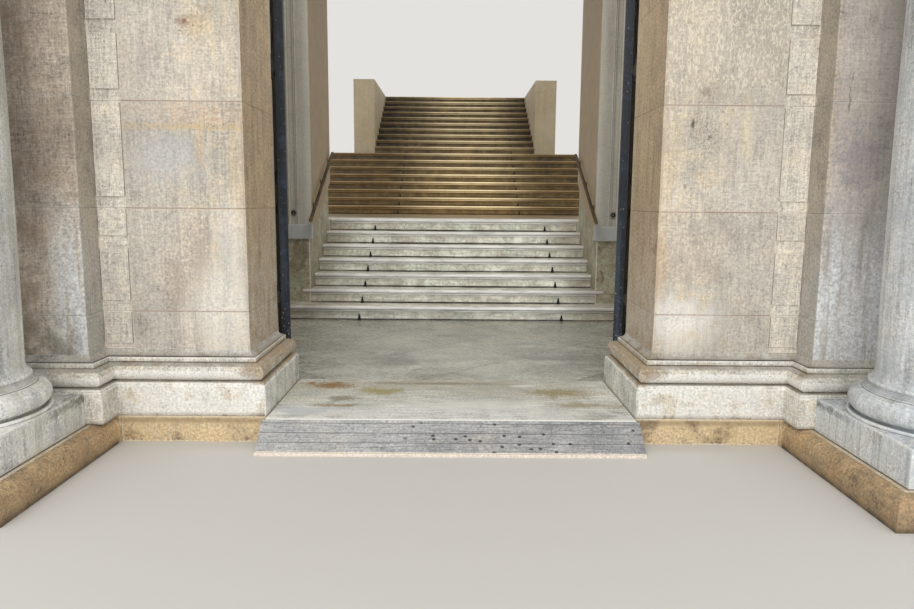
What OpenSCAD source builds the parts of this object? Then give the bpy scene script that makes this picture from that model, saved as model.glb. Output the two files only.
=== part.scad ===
// Stone entrance portal with a pair of door leaves, a vestibule and a marble stair.
// Millimetres, +Z up. X = 0 is the door's axis, Y = 0 the front of the pier plinths, Z = 0 the ground.

/* [Ground course] */
// Height of the yellow stone course that everything stands on
course_h = 175; // [120:5:260]
// How far the course stands out beside and in front of the column plinths
course_nose = 120; // [60:5:160]

/* [Doorway] */
// Clear width between the pier shafts
opening_w = 2660; // [2000:20:3200]
// Height from the threshold up to the lintel
opening_h = 4690; // [3600:10:5200]
// Depth of the piers from front to rear
pier_depth = 750; // [500:10:1000]
// Width of a pier from the doorway to the pilaster beside it
pier_w = 960; // [700:10:1300]
// Front edge of the threshold slab ahead of the plinths
sill_nose = 50; // [10:5:80]
// Run of the grooved ramp in front of the threshold
ramp_run = 210; // [180:10:500]
// How far the ramp is wider than the threshold, on each side
ramp_side = 15; // [0:5:60]
// Height of the ramp's front edge
ramp_lip = 18; // [10:1:30]
// Run of the level strip at the ramp's front edge
ramp_edge = 20; // [10:2:40]
// How far the ramp's top lies below the threshold
ramp_drop = 5; // [0:1:15]
// Radius of a groove
groove_r = 4; // [2:0.5:6]
// Grooves across the ramp
ramp_grooves = 9; // [5:1:14]

/* [Base mouldings] */
// Projection of the plinth beyond the shaft
base_out = 125; // [80:5:160]
// Height of the plinth
plinth_h = 203; // [120:1:300]
// Height of the sunk ledge on the plinth
ledge_h = 19; // [10:1:30]
// Projection of the ledge
ledge_out = 112; // [60:1:150]
// Height of the round moulding above it
torus_h = 116; // [60:1:180]
// Projection of the round moulding
torus_out = 110; // [50:5:120]
// Height of the fillet on the round moulding
fillet_h = 34; // [20:1:60]
// Projection of the fillet
fillet_out = 47; // [20:1:60]
// Height of the groove above the fillet
groove_h = 6; // [4:1:12]
// Projection of the groove's bottom
groove_out = 24; // [10:1:30]
// Height of the cove at the foot of the shaft
cove_h = 38; // [20:1:60]
// Projection of the cove
cove_out = 38; // [20:1:60]

/* [Panel strip] */
// Width of the strip of tooled panels at each pier's outer edge
strip_w = 195; // [120:5:260]
// Thickness of the strip's stone
strip_t = 30; // [20:2:60]
// How far the panels stand proud of the strip
panel_rise = 12; // [6:1:18]
// Height of a stone course in the wall
stone_h = 670; // [400:10:900]
// Plain band between two panels
panel_gap = 85; // [50:5:140]
// How far a band reaches below the joint that it covers
band_drop = 12; // [5:1:30]
// Height of the short panel under every second joint
short_panel_h = 165; // [100:5:260]
// Margin beside the panels
panel_side = 8; // [4:1:20]

/* [Pilaster and column] */
// Width of the pilaster behind each column
pilaster_w = 950; // [820:10:1100]
// Distance the pilaster stands forward of the pier
pilaster_out = 205; // [100:5:300]
// Distance of the column's centre in front of the pier shafts
column_ahead = 778; // [740:2:1000]
// Radius of the column at its foot
foot_r = 356; // [280:2:380]
// Largest radius of the column, at a third of its height
column_r = 370; // [300:2:400]
// Radius of the column under its capital
neck_r = 312; // [240:2:360]
// Projection of the column's plinth beyond its foot
column_plinth_out = 135; // [110:1:140]
// Height of the rim on the column's plinth
rim_h = 20; // [10:1:30]
// Height of the big round moulding of the column's base
column_torus_h = 134; // [80:1:160]
// Projection of the big round moulding
column_torus_out = 129; // [90:1:135]
// Height of the lower ring of the column's base
lower_ring_h = 37; // [20:1:50]
// Projection of the lower ring
lower_ring_out = 60; // [40:1:80]
// Height of the upper ring of the column's base
upper_ring_h = 22; // [12:1:30]
// Projection of the upper ring
upper_ring_out = 34; // [20:1:39]
// Height over which the shaft flares out to the upper ring
flare_h = 70; // [40:5:120]
// Projection of the flare
flare_out = 22; // [8:1:28]

/* [Capitals] */
// Height of columns with base and capital
order_h = 5360; // [5200:10:6000]
// Height of the capital's lower ring
collar_h = 40; // [20:2:60]
// Projection of the capital's lower ring
collar_out = 20; // [10:1:40]
// Height of the plain band between ring and bowl
neck_h = 110; // [60:5:180]
// Height of the capital's bowl
bowl_h = 76; // [50:2:120]
// Projection of the capital's bowl
bowl_out = 42; // [25:1:70]
// Height of the capital's top plate
abacus_h = 104; // [60:2:140]
// Projection of the capital's top plate
abacus_out = 64; // [40:1:90]

/* [Entablature] */
// How far the beams are wider than the column's neck, on each side
beam_side = 15; // [5:1:40]
// Height of the architrave's lower band
lower_band_h = 250; // [150:10:350]
// Height of the architrave's upper band
upper_band_h = 200; // [100:10:300]
// How far the upper band stands proud
band_out = 25; // [10:1:40]
// Height of the frieze
frieze_h = 420; // [300:10:600]
// Height of the cornice's lowest band
bed_h = 95; // [60:5:140]
// Projection of the cornice's lowest band
bed_out = 66; // [40:2:100]
// Height of the cornice's lower round moulding
ovolo_h = 105; // [70:5:150]
// Projection of the lower round moulding
ovolo_out = 138; // [110:2:180]
// Height of the cornice's plain face
corona_h = 130; // [80:5:200]
// Projection of the plain face
corona_out = 264; // [200:2:300]
// Height of the cornice's upper round moulding
crown_h = 85; // [60:5:120]
// Projection of the upper round moulding
crown_out = 314; // [270:2:340]
// Height of the cornice's top fillet
top_h = 55; // [30:5:90]
// Projection of the top fillet
top_out = 330; // [280:2:360]

/* [Door leaves] */
// Thickness of a leaf
leaf_t = 70; // [50:2:90]
// How far the leaves stand open
leaf_open = 105; // [95:1:115]
// Gap under a leaf
leaf_floor_gap = 10; // [6:1:20]
// How far a leaf reaches up behind the lintel
leaf_lap = 30; // [10:5:80]
// Width of a leaf's stiles and rails
stile_w = 170; // [120:5:240]
// Depth of the panels sunk in a leaf's faces
panel_sink = 14; // [8:1:20]
// Radius of the hinge pins
pin_r = 14; // [10:1:18]
// Thickness of the metal round a pin
barrel_wall = 12; // [8:1:16]
// Height of a hinge barrel
barrel_h = 90; // [60:5:140]
// Height of the bracket above and below a barrel
lug_h = 45; // [30:5:60]
// Length of a hinge strap on the leaf
strap_l = 240; // [160:10:320]
// Thickness of a hinge strap
strap_t = 14; // [10:1:18]
// Distance of the hinge pins beside the pier's face
pin_side = 64; // [60:1:90]
// Width of the iron post that carries the hinges
post_w = 90; // [60:5:120]

/* [Vestibule] */
// Distance from the plinth fronts to the inner wall
vestibule_reach = 4200; // [3900:10:5200]
// Half width of the vestibule
vestibule_half = 2600; // [2500:10:3000]
// Thickness of the vestibule's walls
wall_t = 300; // [200:10:400]
// Thickness of the vestibule's ceiling
ceiling_t = 250; // [150:10:350]

/* [Inner opening] */
// Clear width between the marble dados
inner_w = 3480; // [3000:20:3800]
// Depth of the inner wall
inner_depth = 1300; // [1000:10:1600]
// Thickness of the dado on the reveals
dado_t = 50; // [30:5:70]
// Thickness of the dado in front of the wall
dado_front = 30; // [20:1:40]
// Thickness of the casing on the reveals
casing_t = 80; // [75:5:120]
// Thickness of the casing in front of the wall
casing_front = 60; // [40:2:90]
// Width of the casing's face
casing_w = 450; // [300:10:600]
// Depth of the flutes in the casing's face
flute_sink = 14; // [6:1:25]
// Height of the casing across the top of the opening
casing_head_h = 360; // [240:10:500]
// Height of the dado above the vestibule floor, at its front
dado_h = 945; // [700:5:1100]
// Height of the casing's plinth block
block_h = 170; // [100:5:250]
// Projection of the casing's plinth block
block_out = 10; // [5:1:20]

/* [Lower flight] */
// Height of a step
riser = 165; // [140:1:180]
// Depth of a step in the lower flight
tread = 298; // [260:1:330]
// Risers in the lower flight
lower_risers = 7; // [5:1:7]
// First riser's place behind the plinth fronts
stair_start = 3895; // [3880:5:3915]
// How far a step's nosing overhangs its riser
nosing = 40; // [20:1:45]
// Height of a step's nosing
nosing_h = 40; // [30:1:60]
// How far the first step runs on beside the dado
first_step_side = 300; // [150:10:400]
// How far the second step's nosing runs on in front of the dado
second_step_side = 95; // [60:5:140]

/* [Upper flight] */
// Foot of the upper flight behind the plinth fronts
upper_start = 9740; // [9000:20:11000]
// Depth of a step in the upper flight
upper_tread = 300; // [270:2:340]
// Risers in the wide foot of the upper flight
wide_risers = 8; // [5:1:10]
// Risers between the flanking walls
narrow_risers = 10; // [6:1:12]
// Half width of the wide foot and of the landing
wide_half = 2750; // [2500:10:2900]
// Half width over the flanking walls
flank_half = 2290; // [2200:10:2400]
// Half width between the flanking walls
narrow_half = 1820; // [1600:10:2000]
// Depth of the upper landing
upper_landing_run = 1200; // [900:20:1800]
// Thickness of the wall under the upper landing
rear_wall_t = 300; // [200:10:400]
// Thickness of the landings
landing_t = 220; // [180:10:300]
// Length of the upper flight's soffit under the landing's end
flight_foot = 430; // [350:10:500]

/* [Handrails] */
// Radius of a handrail
rail_r = 20; // [15:1:30]
// Distance from the casing to the rail's centre
rail_off = 50; // [45:1:90]
// Height of the rail above the nosing line
rail_h = 1030; // [850:10:1050]
// How far the rail runs on in front of the inner wall
rail_ahead = 370; // [100:10:500]

/* [Hidden] */
$fn = 48;
big = 20000;
eps = 0.01;
half_open = opening_w / 2;
pier_y0 = base_out;
pier_y1 = base_out + pier_depth;
base_h = plinth_h + ledge_h + torus_h + fillet_h + groove_h + cove_h;
pilaster_x0 = half_open + pier_w;
pilaster_x1 = pilaster_x0 + pilaster_w;
pilaster_y0 = pier_y0 - pilaster_out;
strip_x0 = pilaster_x0 - strip_w;
half_w = pilaster_x1 + base_out;
column_x = (pilaster_x0 + pilaster_x1) / 2;
column_y = pier_y0 - column_ahead;
column_plinth_half = foot_r + column_plinth_out;
base_stop_gap = 3;
foot_z = course_h + base_h;
column_foot_z = course_h + plinth_h + rim_h + column_torus_h + lower_ring_h + upper_ring_h;
head_z = course_h + opening_h;
capital_h = collar_h + neck_h + bowl_h + abacus_h;
order_z = course_h + order_h;
capital_z = order_z - capital_h;
frieze_z = order_z + lower_band_h + upper_band_h;
cornice_z = frieze_z + frieze_h;
beam_half = neck_r + beam_side;
entablature_half = column_x + beam_half;
entablature_y0 = column_y - beam_half;

leaf_gap = 10;
pin_gap = 34;
pin_x = half_open + pin_side;
pin_y = pier_y1 + base_out + leaf_gap + leaf_t + pin_gap;
pin_clearance = 0.1;
barrel_r = pin_r + barrel_wall;
lug_gap = 2;
lug_w = 50;
hinge_z = [640, 2400, 4160];
leaf_edge = 10;
post_gap = 5;
post_back = 50;
meeting_gap = 6;
leaf_z0 = course_h + leaf_floor_gap;
leaf_z1 = head_z + leaf_lap;
leaf_rails = [0, 0.3, 0.62, 1];
post_x0 = pin_x + post_gap;
post_y1 = pin_y - post_back;

inner_y0 = vestibule_reach;
inner_y1 = vestibule_reach + inner_depth;
dado_x = inner_w / 2;
inner_half = dado_x + dado_t;
casing_x = inner_half - casing_t;
casing_x1 = casing_x + casing_w;
casing_z = course_h + dado_h;
flute_bands = [[0.18, 0.4], [0.55, 0.85]];
flute_end = 60;
rake = riser / tread;
room_top = frieze_z;

landing_z = course_h + lower_risers * riser;
landing_y0 = stair_start + (lower_risers - 1) * tread;
step_seat = 40;
landing_seat = 300;
core_y1 = landing_y0 + landing_seat;
upper_risers = wide_risers + narrow_risers;
upper_rise = upper_risers * riser;
flank_run = wide_risers * upper_tread;
flight_end = 60;
flight_run = (upper_risers - 1) * upper_tread + flight_end;
rear_run = (upper_risers - 1) * upper_tread + upper_landing_run;
flank_lap = 450;

bracket_r = 8;
rose_r = 32;
rose_t = 8;
bracket_drop = 70;

// A box from one corner to the other.
module block(low, high) {
    translate(low) cube(high - low);
}

// What is drawn for the right side, on the side that is asked for.
module on_side(side) {
    if (side > 0) children();
    else mirror([1, 0, 0]) children();
}

// A profile in the YZ plane, swept along X from x0 to x1.
module along_x(x0, x1) {
    translate([x0, 0, 0]) rotate([90, 0, 90]) linear_extrude(x1 - x0) children();
}

// Running heights of a stack of bands: the bottom of the first, of the second and so on.
function stack(z, heights, i = 0) =
    i == len(heights) ? [z] : concat([z], stack(z + heights[i], heights, i + 1));

// Section through a moulding as wide as the wall behind it: bands are [z0, z1, out, kind].
module moulded_section(width, bands) {
    for (band = bands) {
        height = band[1] - band[0];
        half = width / 2;
        if (band[3] == "round") {
            straight = half + band[2] - height / 2;
            translate([-straight, band[0]]) square([2 * straight, height]);
            for (s = [-1, 1]) translate([s * straight, band[0] + height / 2]) circle(d = height);
        } else if (band[3] == "cove") {
            arc = [for (a = [0:15:90]) [half + band[2] * (1 - cos(a)), band[1] - height * sin(a)]];
            polygon(concat(arc, [for (i = [len(arc) - 1:-1:0]) [-arc[i][0], arc[i][1]]]));
        } else {
            translate([-half - band[2], band[0]]) square([2 * half + 2 * band[2], height]);
        }
    }
}

// A block over the plan x0..x1, y0..y1 with the same mouldings mitred round all four sides.
module moulded_block(x0, x1, y0, y1, bands) {
    translate([(x0 + x1) / 2, (y0 + y1) / 2, 0]) intersection() {
        rotate([90, 0, 0]) translate([0, 0, -big / 2]) linear_extrude(big) moulded_section(x1 - x0, bands);
        rotate([90, 0, 90]) translate([0, 0, -big / 2]) linear_extrude(big) moulded_section(y1 - y0, bands);
    }
}

// Turned rings on a column: bands are [z0, z1, radius, kind].
module turned(bands) {
    rotate_extrude() union() for (band = bands) {
        height = band[1] - band[0];
        straight = band[3] == "round" ? band[2] - height / 2 : band[2];
        translate([0, band[0]]) square([straight, height]);
        if (band[3] == "round") translate([straight, band[0] + height / 2]) circle(d = height);
    }
}

base_stack = stack(course_h, [plinth_h, ledge_h, torus_h, fillet_h, groove_h, cove_h]);
base_bands = [
    [base_stack[0], base_stack[1], base_out, "flat"],
    [base_stack[1], base_stack[2], ledge_out, "flat"],
    [base_stack[2], base_stack[3], torus_out, "round"],
    [base_stack[3], base_stack[4], fillet_out, "flat"],
    [base_stack[4], base_stack[5], groove_out, "flat"],
    [base_stack[5], base_stack[6], cove_out, "cove"]
];

capital_stack = stack(capital_z, [collar_h, neck_h, bowl_h, abacus_h]);
capital_bands = [
    [capital_stack[0], capital_stack[1], collar_out, "round"],
    [capital_stack[0], capital_stack[2], 0, "flat"],
    [capital_stack[2], capital_stack[3], bowl_out, "round"],
    [capital_stack[3], capital_stack[4], abacus_out, "flat"]
];

cornice_stack = stack(cornice_z, [bed_h, ovolo_h, corona_h, crown_h, top_h]);
cornice_bands = [
    [cornice_stack[0], cornice_stack[1], bed_out, "flat"],
    [cornice_stack[1], cornice_stack[2], ovolo_out, "round"],
    [cornice_stack[2], cornice_stack[3], corona_out, "flat"],
    [cornice_stack[3], cornice_stack[4], crown_out, "round"],
    [cornice_stack[4], cornice_stack[5], top_out, "flat"]
];

// Yellow course under a pier, its pilaster and the column in front, with a rounded top edge.
module base_course(side) {
    front_y = column_y - column_plinth_half;
    bands = [[0, course_h, course_nose, "round"], [0, course_h / 2, course_nose, "flat"]];
    color("burlywood") on_side(side) union() {
        block([half_open - base_out, 0, 0], [half_w, pier_y1 + base_out, course_h]);
        intersection() {
            moulded_block(column_x - column_plinth_half, half_w + course_h, front_y, pier_y1, bands);
            block([0, -big / 2, 0], [half_w, eps, course_h]);
        }
    }
}

// Marble slab between the plinths.
module threshold_slab() {
    x = half_open - base_out;
    color("gainsboro") block([-x, -sill_nose, 0], [x, pier_y1 + base_out, course_h]);
}

// Grooved ramp from the ground up to the threshold.
module entrance_ramp() {
    top_z = course_h - ramp_drop;
    half = half_open - base_out + ramp_side;
    slope_run = ramp_run - ramp_edge;
    color("gray") difference() {
        translate([half, -sill_nose, 0]) rotate([90, 0, -90]) linear_extrude(2 * half)
            polygon([[0, 0], [0, top_z], [slope_run, ramp_lip], [ramp_run, ramp_lip], [ramp_run, 0]]);
        for (i = [1:ramp_grooves]) {
            t = i / (ramp_grooves + 1);
            translate([-half - 1, -sill_nose - t * slope_run, top_z - t * (top_z - ramp_lip)])
                rotate([0, 90, 0]) cylinder(r = groove_r, h = 2 * half + 2, $fn = 16);
        }
    }
}

// Polished floor between the doorway and the stair.
module vestibule_floor() {
    y0 = pier_y1 + base_out;
    color("darkgray") difference() {
        block([-vestibule_half, y0, 0], [vestibule_half, inner_y0, course_h]);
        block([-dado_x, stair_start, -1], [dado_x, inner_y0 + 1, course_h + 1]);
    }
}

// Plinth and mouldings round a pier and its pilaster, stopped against the column's base.
module wall_base(side) {
    color("antiquewhite") on_side(side) difference() {
        intersection() {
            union() {
                moulded_block(half_open, half_w + 2 * base_out, pier_y0, pier_y1, base_bands);
                moulded_block(pilaster_x0, pilaster_x1, pilaster_y0, pier_y1, base_bands);
            }
            block([0, -big / 2, 0], [half_w, pier_y1 + base_out, foot_z]);
        }
        translate([column_x, column_y, course_h + plinth_h])
            cylinder(r = foot_r + column_torus_out + base_stop_gap, h = base_h);
    }
}

// Pier shaft from its base up to the lintel, with a seat for the panel strip.
module pier(side) {
    color("wheat") on_side(side) difference() {
        block([half_open, pier_y0, foot_z], [half_w, pier_y1, head_z]);
        block([strip_x0, pier_y0 - 1, foot_z - 1], [pilaster_x0, pier_y0 + strip_t, head_z + 1]);
    }
}

// Heights where a panel of the strip ends, from the base to the lintel, in pairs.
function panel_spans() = [
    for (k = [0:ceil(opening_h / stone_h) - 1])
        let (joint = course_h + k * stone_h, next = min(joint + stone_h, head_z),
             z0 = max(joint - band_drop + panel_gap, foot_z + panel_gap / 2), z1 = next - band_drop,
             split = z1 - short_panel_h)
            each (k % 2 == 1 && next < head_z ? [[z0, split - panel_gap], [split, z1]] : [[z0, z1]])
];

// Strips of tooled panels, one at each pier's outer edge.
module panel_strips() {
    back_y = pier_y0 + strip_t;
    face_y = pier_y0 + panel_rise;
    for (side = [-1, 1]) color("linen") on_side(side) {
        block([strip_x0, face_y, foot_z], [pilaster_x0, back_y, head_z]);
        for (span = panel_spans()) if (span[1] - span[0] > panel_gap)
            block([strip_x0 + panel_side, pier_y0, span[0]], [pilaster_x0 - panel_side, face_y + eps, span[1]]);
    }
}

// Pilaster behind a column, with its moulded capital.
module pilaster(side) {
    color("bisque") on_side(side) difference() {
        union() {
            block([pilaster_x0, pilaster_y0, foot_z], [pilaster_x1, pier_y0, capital_stack[2]]);
            moulded_block(pilaster_x0, pilaster_x1, pilaster_y0, pier_y1, capital_bands);
        }
        block([0, pier_y0, 0], [big, big, big]);
    }
}

// Column plinth that runs back to the wall, with the column's round base on it.
module column_base(side) {
    plinth_top = course_h + plinth_h;
    rings = stack(plinth_top, [rim_h, column_torus_h, lower_ring_h, upper_ring_h]);
    color("silver") on_side(side) union() {
        block([column_x - column_plinth_half, column_y - column_plinth_half, course_h],
              [column_x + column_plinth_half, pilaster_y0 - base_out, plinth_top]);
        translate([column_x, column_y, 0]) turned([
            [rings[0], rings[1], foot_r + column_torus_out, "flat"],
            [rings[1], rings[2], foot_r + column_torus_out, "round"],
            [rings[2], rings[3], foot_r + lower_ring_out, "round"],
            [rings[3], rings[4], foot_r + upper_ring_out, "round"]]);
    }
}

// Radius of the shaft at the share t of its height: it swells to a third, then eases in to the neck.
function shaft_r(t) = t < 1 / 3 ? column_r - (column_r - foot_r) * pow(1 - 3 * t, 2)
                                : column_r - (column_r - neck_r) * pow(1.5 * t - 0.5, 1.6);

// Column shaft with its flared foot.
module column_shaft(side) {
    shaft_h = capital_z - column_foot_z;
    foot = [for (a = [90:-15:0]) [shaft_r(flare_h / shaft_h) + flare_out * (1 - cos(a)), flare_h * (1 - sin(a))]];
    rise = [for (i = [1:12]) let (t = i / 12) [shaft_r(t), t * shaft_h]];
    color("silver") on_side(side) translate([column_x, column_y, column_foot_z]) rotate_extrude()
        polygon(concat([[0, 0]], [for (i = [len(foot) - 1:-1:0]) foot[i]], rise, [[0, shaft_h]]));
}

// Round capital with a square top plate.
module column_capital(side) {
    top = neck_r + abacus_out;
    color("silver") on_side(side) translate([column_x, column_y, 0]) union() {
        turned([for (i = [0:2]) let (band = capital_bands[i]) [band[0], band[1], neck_r + band[2], band[3]]]);
        block([-top, -top, capital_stack[3]], [top, top, capital_stack[4]]);
    }
}

// Wall over the doorway.
module wall_head() {
    color("wheat") block([-half_w, pier_y0, head_z], [half_w, pier_y1, frieze_z]);
}

// Architrave on the columns, with its returns to the wall; the upper band stands out.
module architrave() {
    outer = entablature_half;
    inner = entablature_half - 2 * beam_half;
    color("bisque") difference() {
        union() {
            block([-outer, entablature_y0, order_z], [outer, pier_y0, frieze_z]);
            block([-outer - band_out, entablature_y0 - band_out, order_z + lower_band_h],
                  [outer + band_out, pier_y0, frieze_z]);
        }
        block([-inner, entablature_y0 + 2 * beam_half, order_z - 1], [inner, pier_y0 + 1, frieze_z + 1]);
    }
}

// Frieze and the slab that roofs the porch.
module frieze() {
    color("wheat") union() {
        block([-entablature_half, entablature_y0, frieze_z], [entablature_half, pier_y0 + 1, cornice_z]);
        block([-half_w, pier_y0, frieze_z], [half_w, pier_y1, cornice_z]);
    }
}

// Moulded cornice over the porch and the wall.
module cornice() {
    color("bisque") intersection() {
        union() {
            moulded_block(-entablature_half, entablature_half, entablature_y0, pier_y1, cornice_bands);
            moulded_block(-half_w, half_w, pier_y0, pier_y1, cornice_bands);
        }
        block([-big / 2, -big / 2, 0], [big / 2, pier_y1, big]);
    }
}

// Side wall of the vestibule.
module vestibule_wall(side) {
    color("linen") on_side(side) union() {
        block([vestibule_half, pier_y1, foot_z], [vestibule_half + wall_t, inner_y0, room_top]);
        block([vestibule_half, pier_y1 + base_out, 0], [vestibule_half + wall_t, inner_y0, foot_z + eps]);
    }
}

// Ceiling over the vestibule and the inner opening.
module vestibule_ceiling() {
    half = vestibule_half + wall_t;
    color("linen") block([-half, pier_y1, room_top], [half, inner_y1, room_top + ceiling_t]);
}

// Inner wall beside the opening to the stair.
module inner_wall(side) {
    color("linen") on_side(side)
        block([inner_half, inner_y0, 0], [vestibule_half + wall_t, inner_y1, head_z]);
}

// Inner wall over the opening.
module inner_head() {
    half = vestibule_half + wall_t;
    color("linen") block([-half, inner_y0, head_z], [half, inner_y1, room_top]);
}

// Fluted casing round the inner opening: face, reveal lining and plinth block.
module casing(side) {
    top = head_z - casing_t;
    block_top = casing_z + block_h;
    face_y = inner_y0 - casing_front;
    color("whitesmoke") on_side(side) difference() {
        union() {
            block([casing_x, face_y, block_top], [casing_x1, inner_y0, top]);
            block([casing_x - block_out, face_y - block_out, casing_z],
                  [casing_x1 + block_out, inner_y0, block_top]);
            intersection() {
                block([casing_x, inner_y0 - eps, casing_z], [inner_half, inner_y1, top]);
                translate([0, inner_y0, casing_z]) rotate([90, 0, 90]) linear_extrude(big)
                    polygon([[-1, 0], [0, 0], [inner_depth, rake * inner_depth], [inner_depth, top], [-1, top]]);
            }
        }
        for (band = flute_bands)
            block([casing_x + casing_w * band[0], face_y - 1, block_top + flute_end],
                  [casing_x + casing_w * band[1], face_y + flute_sink, top - flute_end]);
    }
}

// Casing across the top of the inner opening.
module casing_head() {
    low = head_z - casing_t;
    color("whitesmoke") union() {
        block([-casing_x1, inner_y0 - casing_front, low], [casing_x1, inner_y0, low + casing_t + casing_head_h]);
        block([-inner_half, inner_y0 - eps, low], [inner_half, inner_y1, head_z]);
    }
}

// Marble dado beside the lower flight; its top rises with the stair.
module dado(side) {
    first_z = course_h + riser;
    color("darkseagreen") on_side(side) union() {
        block([dado_x, inner_y0 - dado_front, first_z], [casing_x1, inner_y0, casing_z]);
        translate([0, inner_y0, casing_z]) along_x(dado_x, inner_half)
            polygon([[0, -casing_z], [0, first_z - casing_z], [-eps, first_z - casing_z], [-eps, 0], [0, 0],
                     [inner_depth, rake * inner_depth], [inner_depth, -casing_z]]);
    }
}

// Section of a step of the given run: riser, rounded nosing and the seat under the next step.
module step_section(run) {
    square([run, riser]);
    translate([nosing_h / 2 - nosing, riser - nosing_h]) square([nosing, nosing_h]);
    translate([nosing_h / 2 - nosing, riser - nosing_h / 2]) circle(d = nosing_h);
}

// One marble step of the lower flight; the first two run on in front of the dado.
module step(k) {
    color("gainsboro") translate([0, stair_start + (k - 1) * tread, course_h + (k - 1) * riser]) union() {
        along_x(-dado_x, dado_x) step_section(tread + step_seat);
        if (k == 1) along_x(-dado_x - first_step_side, dado_x + first_step_side)
            step_section(inner_y0 - stair_start);
        if (k == 2) intersection() {
            along_x(-dado_x - second_step_side, dado_x + second_step_side) step_section(tread);
            block([-big, -nosing, riser - nosing_h], [big, inner_y0 - dado_front - stair_start - tread, riser]);
        }
    }
}

// Masonry under the lower flight.
module stair_core() {
    n = lower_risers - 1;
    run = core_y1 - stair_start;
    color("tan") translate([0, stair_start, 0]) along_x(-dado_x, dado_x) polygon(concat(
        [[0, 0], [0, course_h]],
        [for (k = [1:n]) each [[k * tread + step_seat, course_h + (k - 1) * riser],
                               [k * tread + step_seat, course_h + k * riser]]],
        [[run, course_h + n * riser], [run, 0]]));
}

// Landing between the flights; its front edge is the last step of the lower flight.
module landing() {
    color("gainsboro") union() {
        translate([0, landing_y0, landing_z - riser]) along_x(-dado_x, dado_x) step_section(landing_seat + eps);
        difference() {
            block([-wide_half, inner_y1, landing_z - landing_t], [wide_half, upper_start + flight_foot, landing_z]);
            block([-dado_x, inner_y1 - 1, landing_z - landing_t - 1], [dado_x, core_y1, landing_z + 1]);
        }
    }
}

// Height of the upper flight's soffit over the landing, at a distance from the flight's foot.
function soffit(run) = (run - flight_foot) * riser / upper_tread;

// Outline of the upper flight seen from the side: steps on top, a raking soffit below.
function flight_points() = concat(
    [for (k = [0:upper_risers - 1]) each [[k * upper_tread, k * riser], [k * upper_tread, (k + 1) * riser]]],
    [[flight_run, upper_rise], [flight_run, soffit(flight_run)], [flight_foot, 0]]);

// Upper flight: a wide foot, then the narrow run between the flanking walls.
module upper_flight() {
    color("gainsboro") translate([0, upper_start, landing_z]) union() {
        intersection() {
            along_x(-wide_half, wide_half) polygon(flight_points());
            union() {
                block([-wide_half, -1, -1], [wide_half, flank_run, big]);
                block([-narrow_half, -1, -1], [narrow_half, big, big]);
            }
        }
        for (k = [1:upper_risers]) {
            half = k <= wide_risers ? wide_half : narrow_half;
            translate([-half, (k - 1) * upper_tread, k * riser - nosing_h / 2])
                rotate([0, 90, 0]) cylinder(d = nosing_h, h = 2 * half, $fn = 24);
        }
    }
}

// Landing at the head of the upper flight.
module upper_landing() {
    color("gainsboro") translate([0, upper_start, landing_z + upper_rise])
        block([-flank_half, flight_run, -landing_t], [flank_half, rear_run, 0]);
}

// Side wall: under the landing and the wide foot, then set in beside the narrow run.
module stair_wall(side) {
    lap = flank_run - flank_lap;
    color("antiquewhite") on_side(side) translate([0, upper_start, landing_z]) union() {
        along_x(flank_half, wide_half) polygon([
            [inner_y1 - upper_start, -landing_z], [inner_y1 - upper_start, -landing_t],
            [flight_foot, -landing_t], [flight_foot, 0],
            [flank_run, soffit(flank_run)], [flank_run, -landing_z]]);
        along_x(narrow_half, flank_half) polygon([
            [lap, -landing_z], [lap, soffit(lap)], [flank_run, soffit(flank_run)], [flank_run, upper_rise],
            [flight_run, upper_rise], [flight_run, upper_rise - landing_t],
            [rear_run, upper_rise - landing_t], [rear_run, -landing_z]]);
    }
}

// Rear wall under the upper landing.
module stair_wall_rear() {
    color("antiquewhite") translate([0, upper_start, 0])
        block([-narrow_half, rear_run - rear_wall_t, 0], [narrow_half, rear_run, landing_z + upper_rise - landing_t]);
}

// Handrail along the casing, on three brackets.
module handrail(side) {
    x = casing_x - rail_off;
    y0 = inner_y0 - rail_ahead;
    y1 = inner_y1 - flute_end;
    first_y = inner_y0 + 2 * rose_r;
    last_y = y1 - 2 * rose_r;
    z_at = function (y) course_h + riser + rake * (y - stair_start) + rail_h;
    length = (y1 - y0) / cos(atan(rake));
    color("dimgray") on_side(side) union() {
        translate([x, y0, z_at(y0)]) rotate([atan(rake) - 90, 0, 0]) cylinder(r = rail_r, h = length);
        for (y = [first_y, (first_y + last_y) / 2, last_y]) translate([x, y, z_at(y) - bracket_drop]) {
            rotate([0, 90, 0]) cylinder(r = bracket_r, h = rail_off);
            translate([0, 0, -bracket_r]) cylinder(r = bracket_r, h = bracket_drop + bracket_r);
            translate([rail_off - rose_t, 0, 0]) rotate([0, 90, 0]) cylinder(r = rose_r, h = rose_t);
        }
    }
}

// Places a leaf's pieces, drawn closed with the pin at the origin, where the open leaf is.
module at_hinge(side) {
    on_side(side) translate([pin_x, pin_y, 0]) rotate([0, 0, -leaf_open]) children();
}

// Door leaf: a frame with sunk panels on both faces.
module door_leaf(side) {
    width = pin_x - meeting_gap;
    height = leaf_z1 - leaf_z0 - stile_w;
    color("darkslategray") at_hinge(side) difference() {
        block([-width, -pin_gap - leaf_t, leaf_z0], [-leaf_edge, -pin_gap, leaf_z1]);
        for (i = [0:len(leaf_rails) - 2], y = [-pin_gap - leaf_t - 1, -pin_gap - panel_sink])
            block([-width + stile_w, y, leaf_z0 + leaf_rails[i] * height + stile_w],
                  [-leaf_edge - stile_w, y + panel_sink + 1, leaf_z0 + leaf_rails[i + 1] * height]);
    }
}

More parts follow.
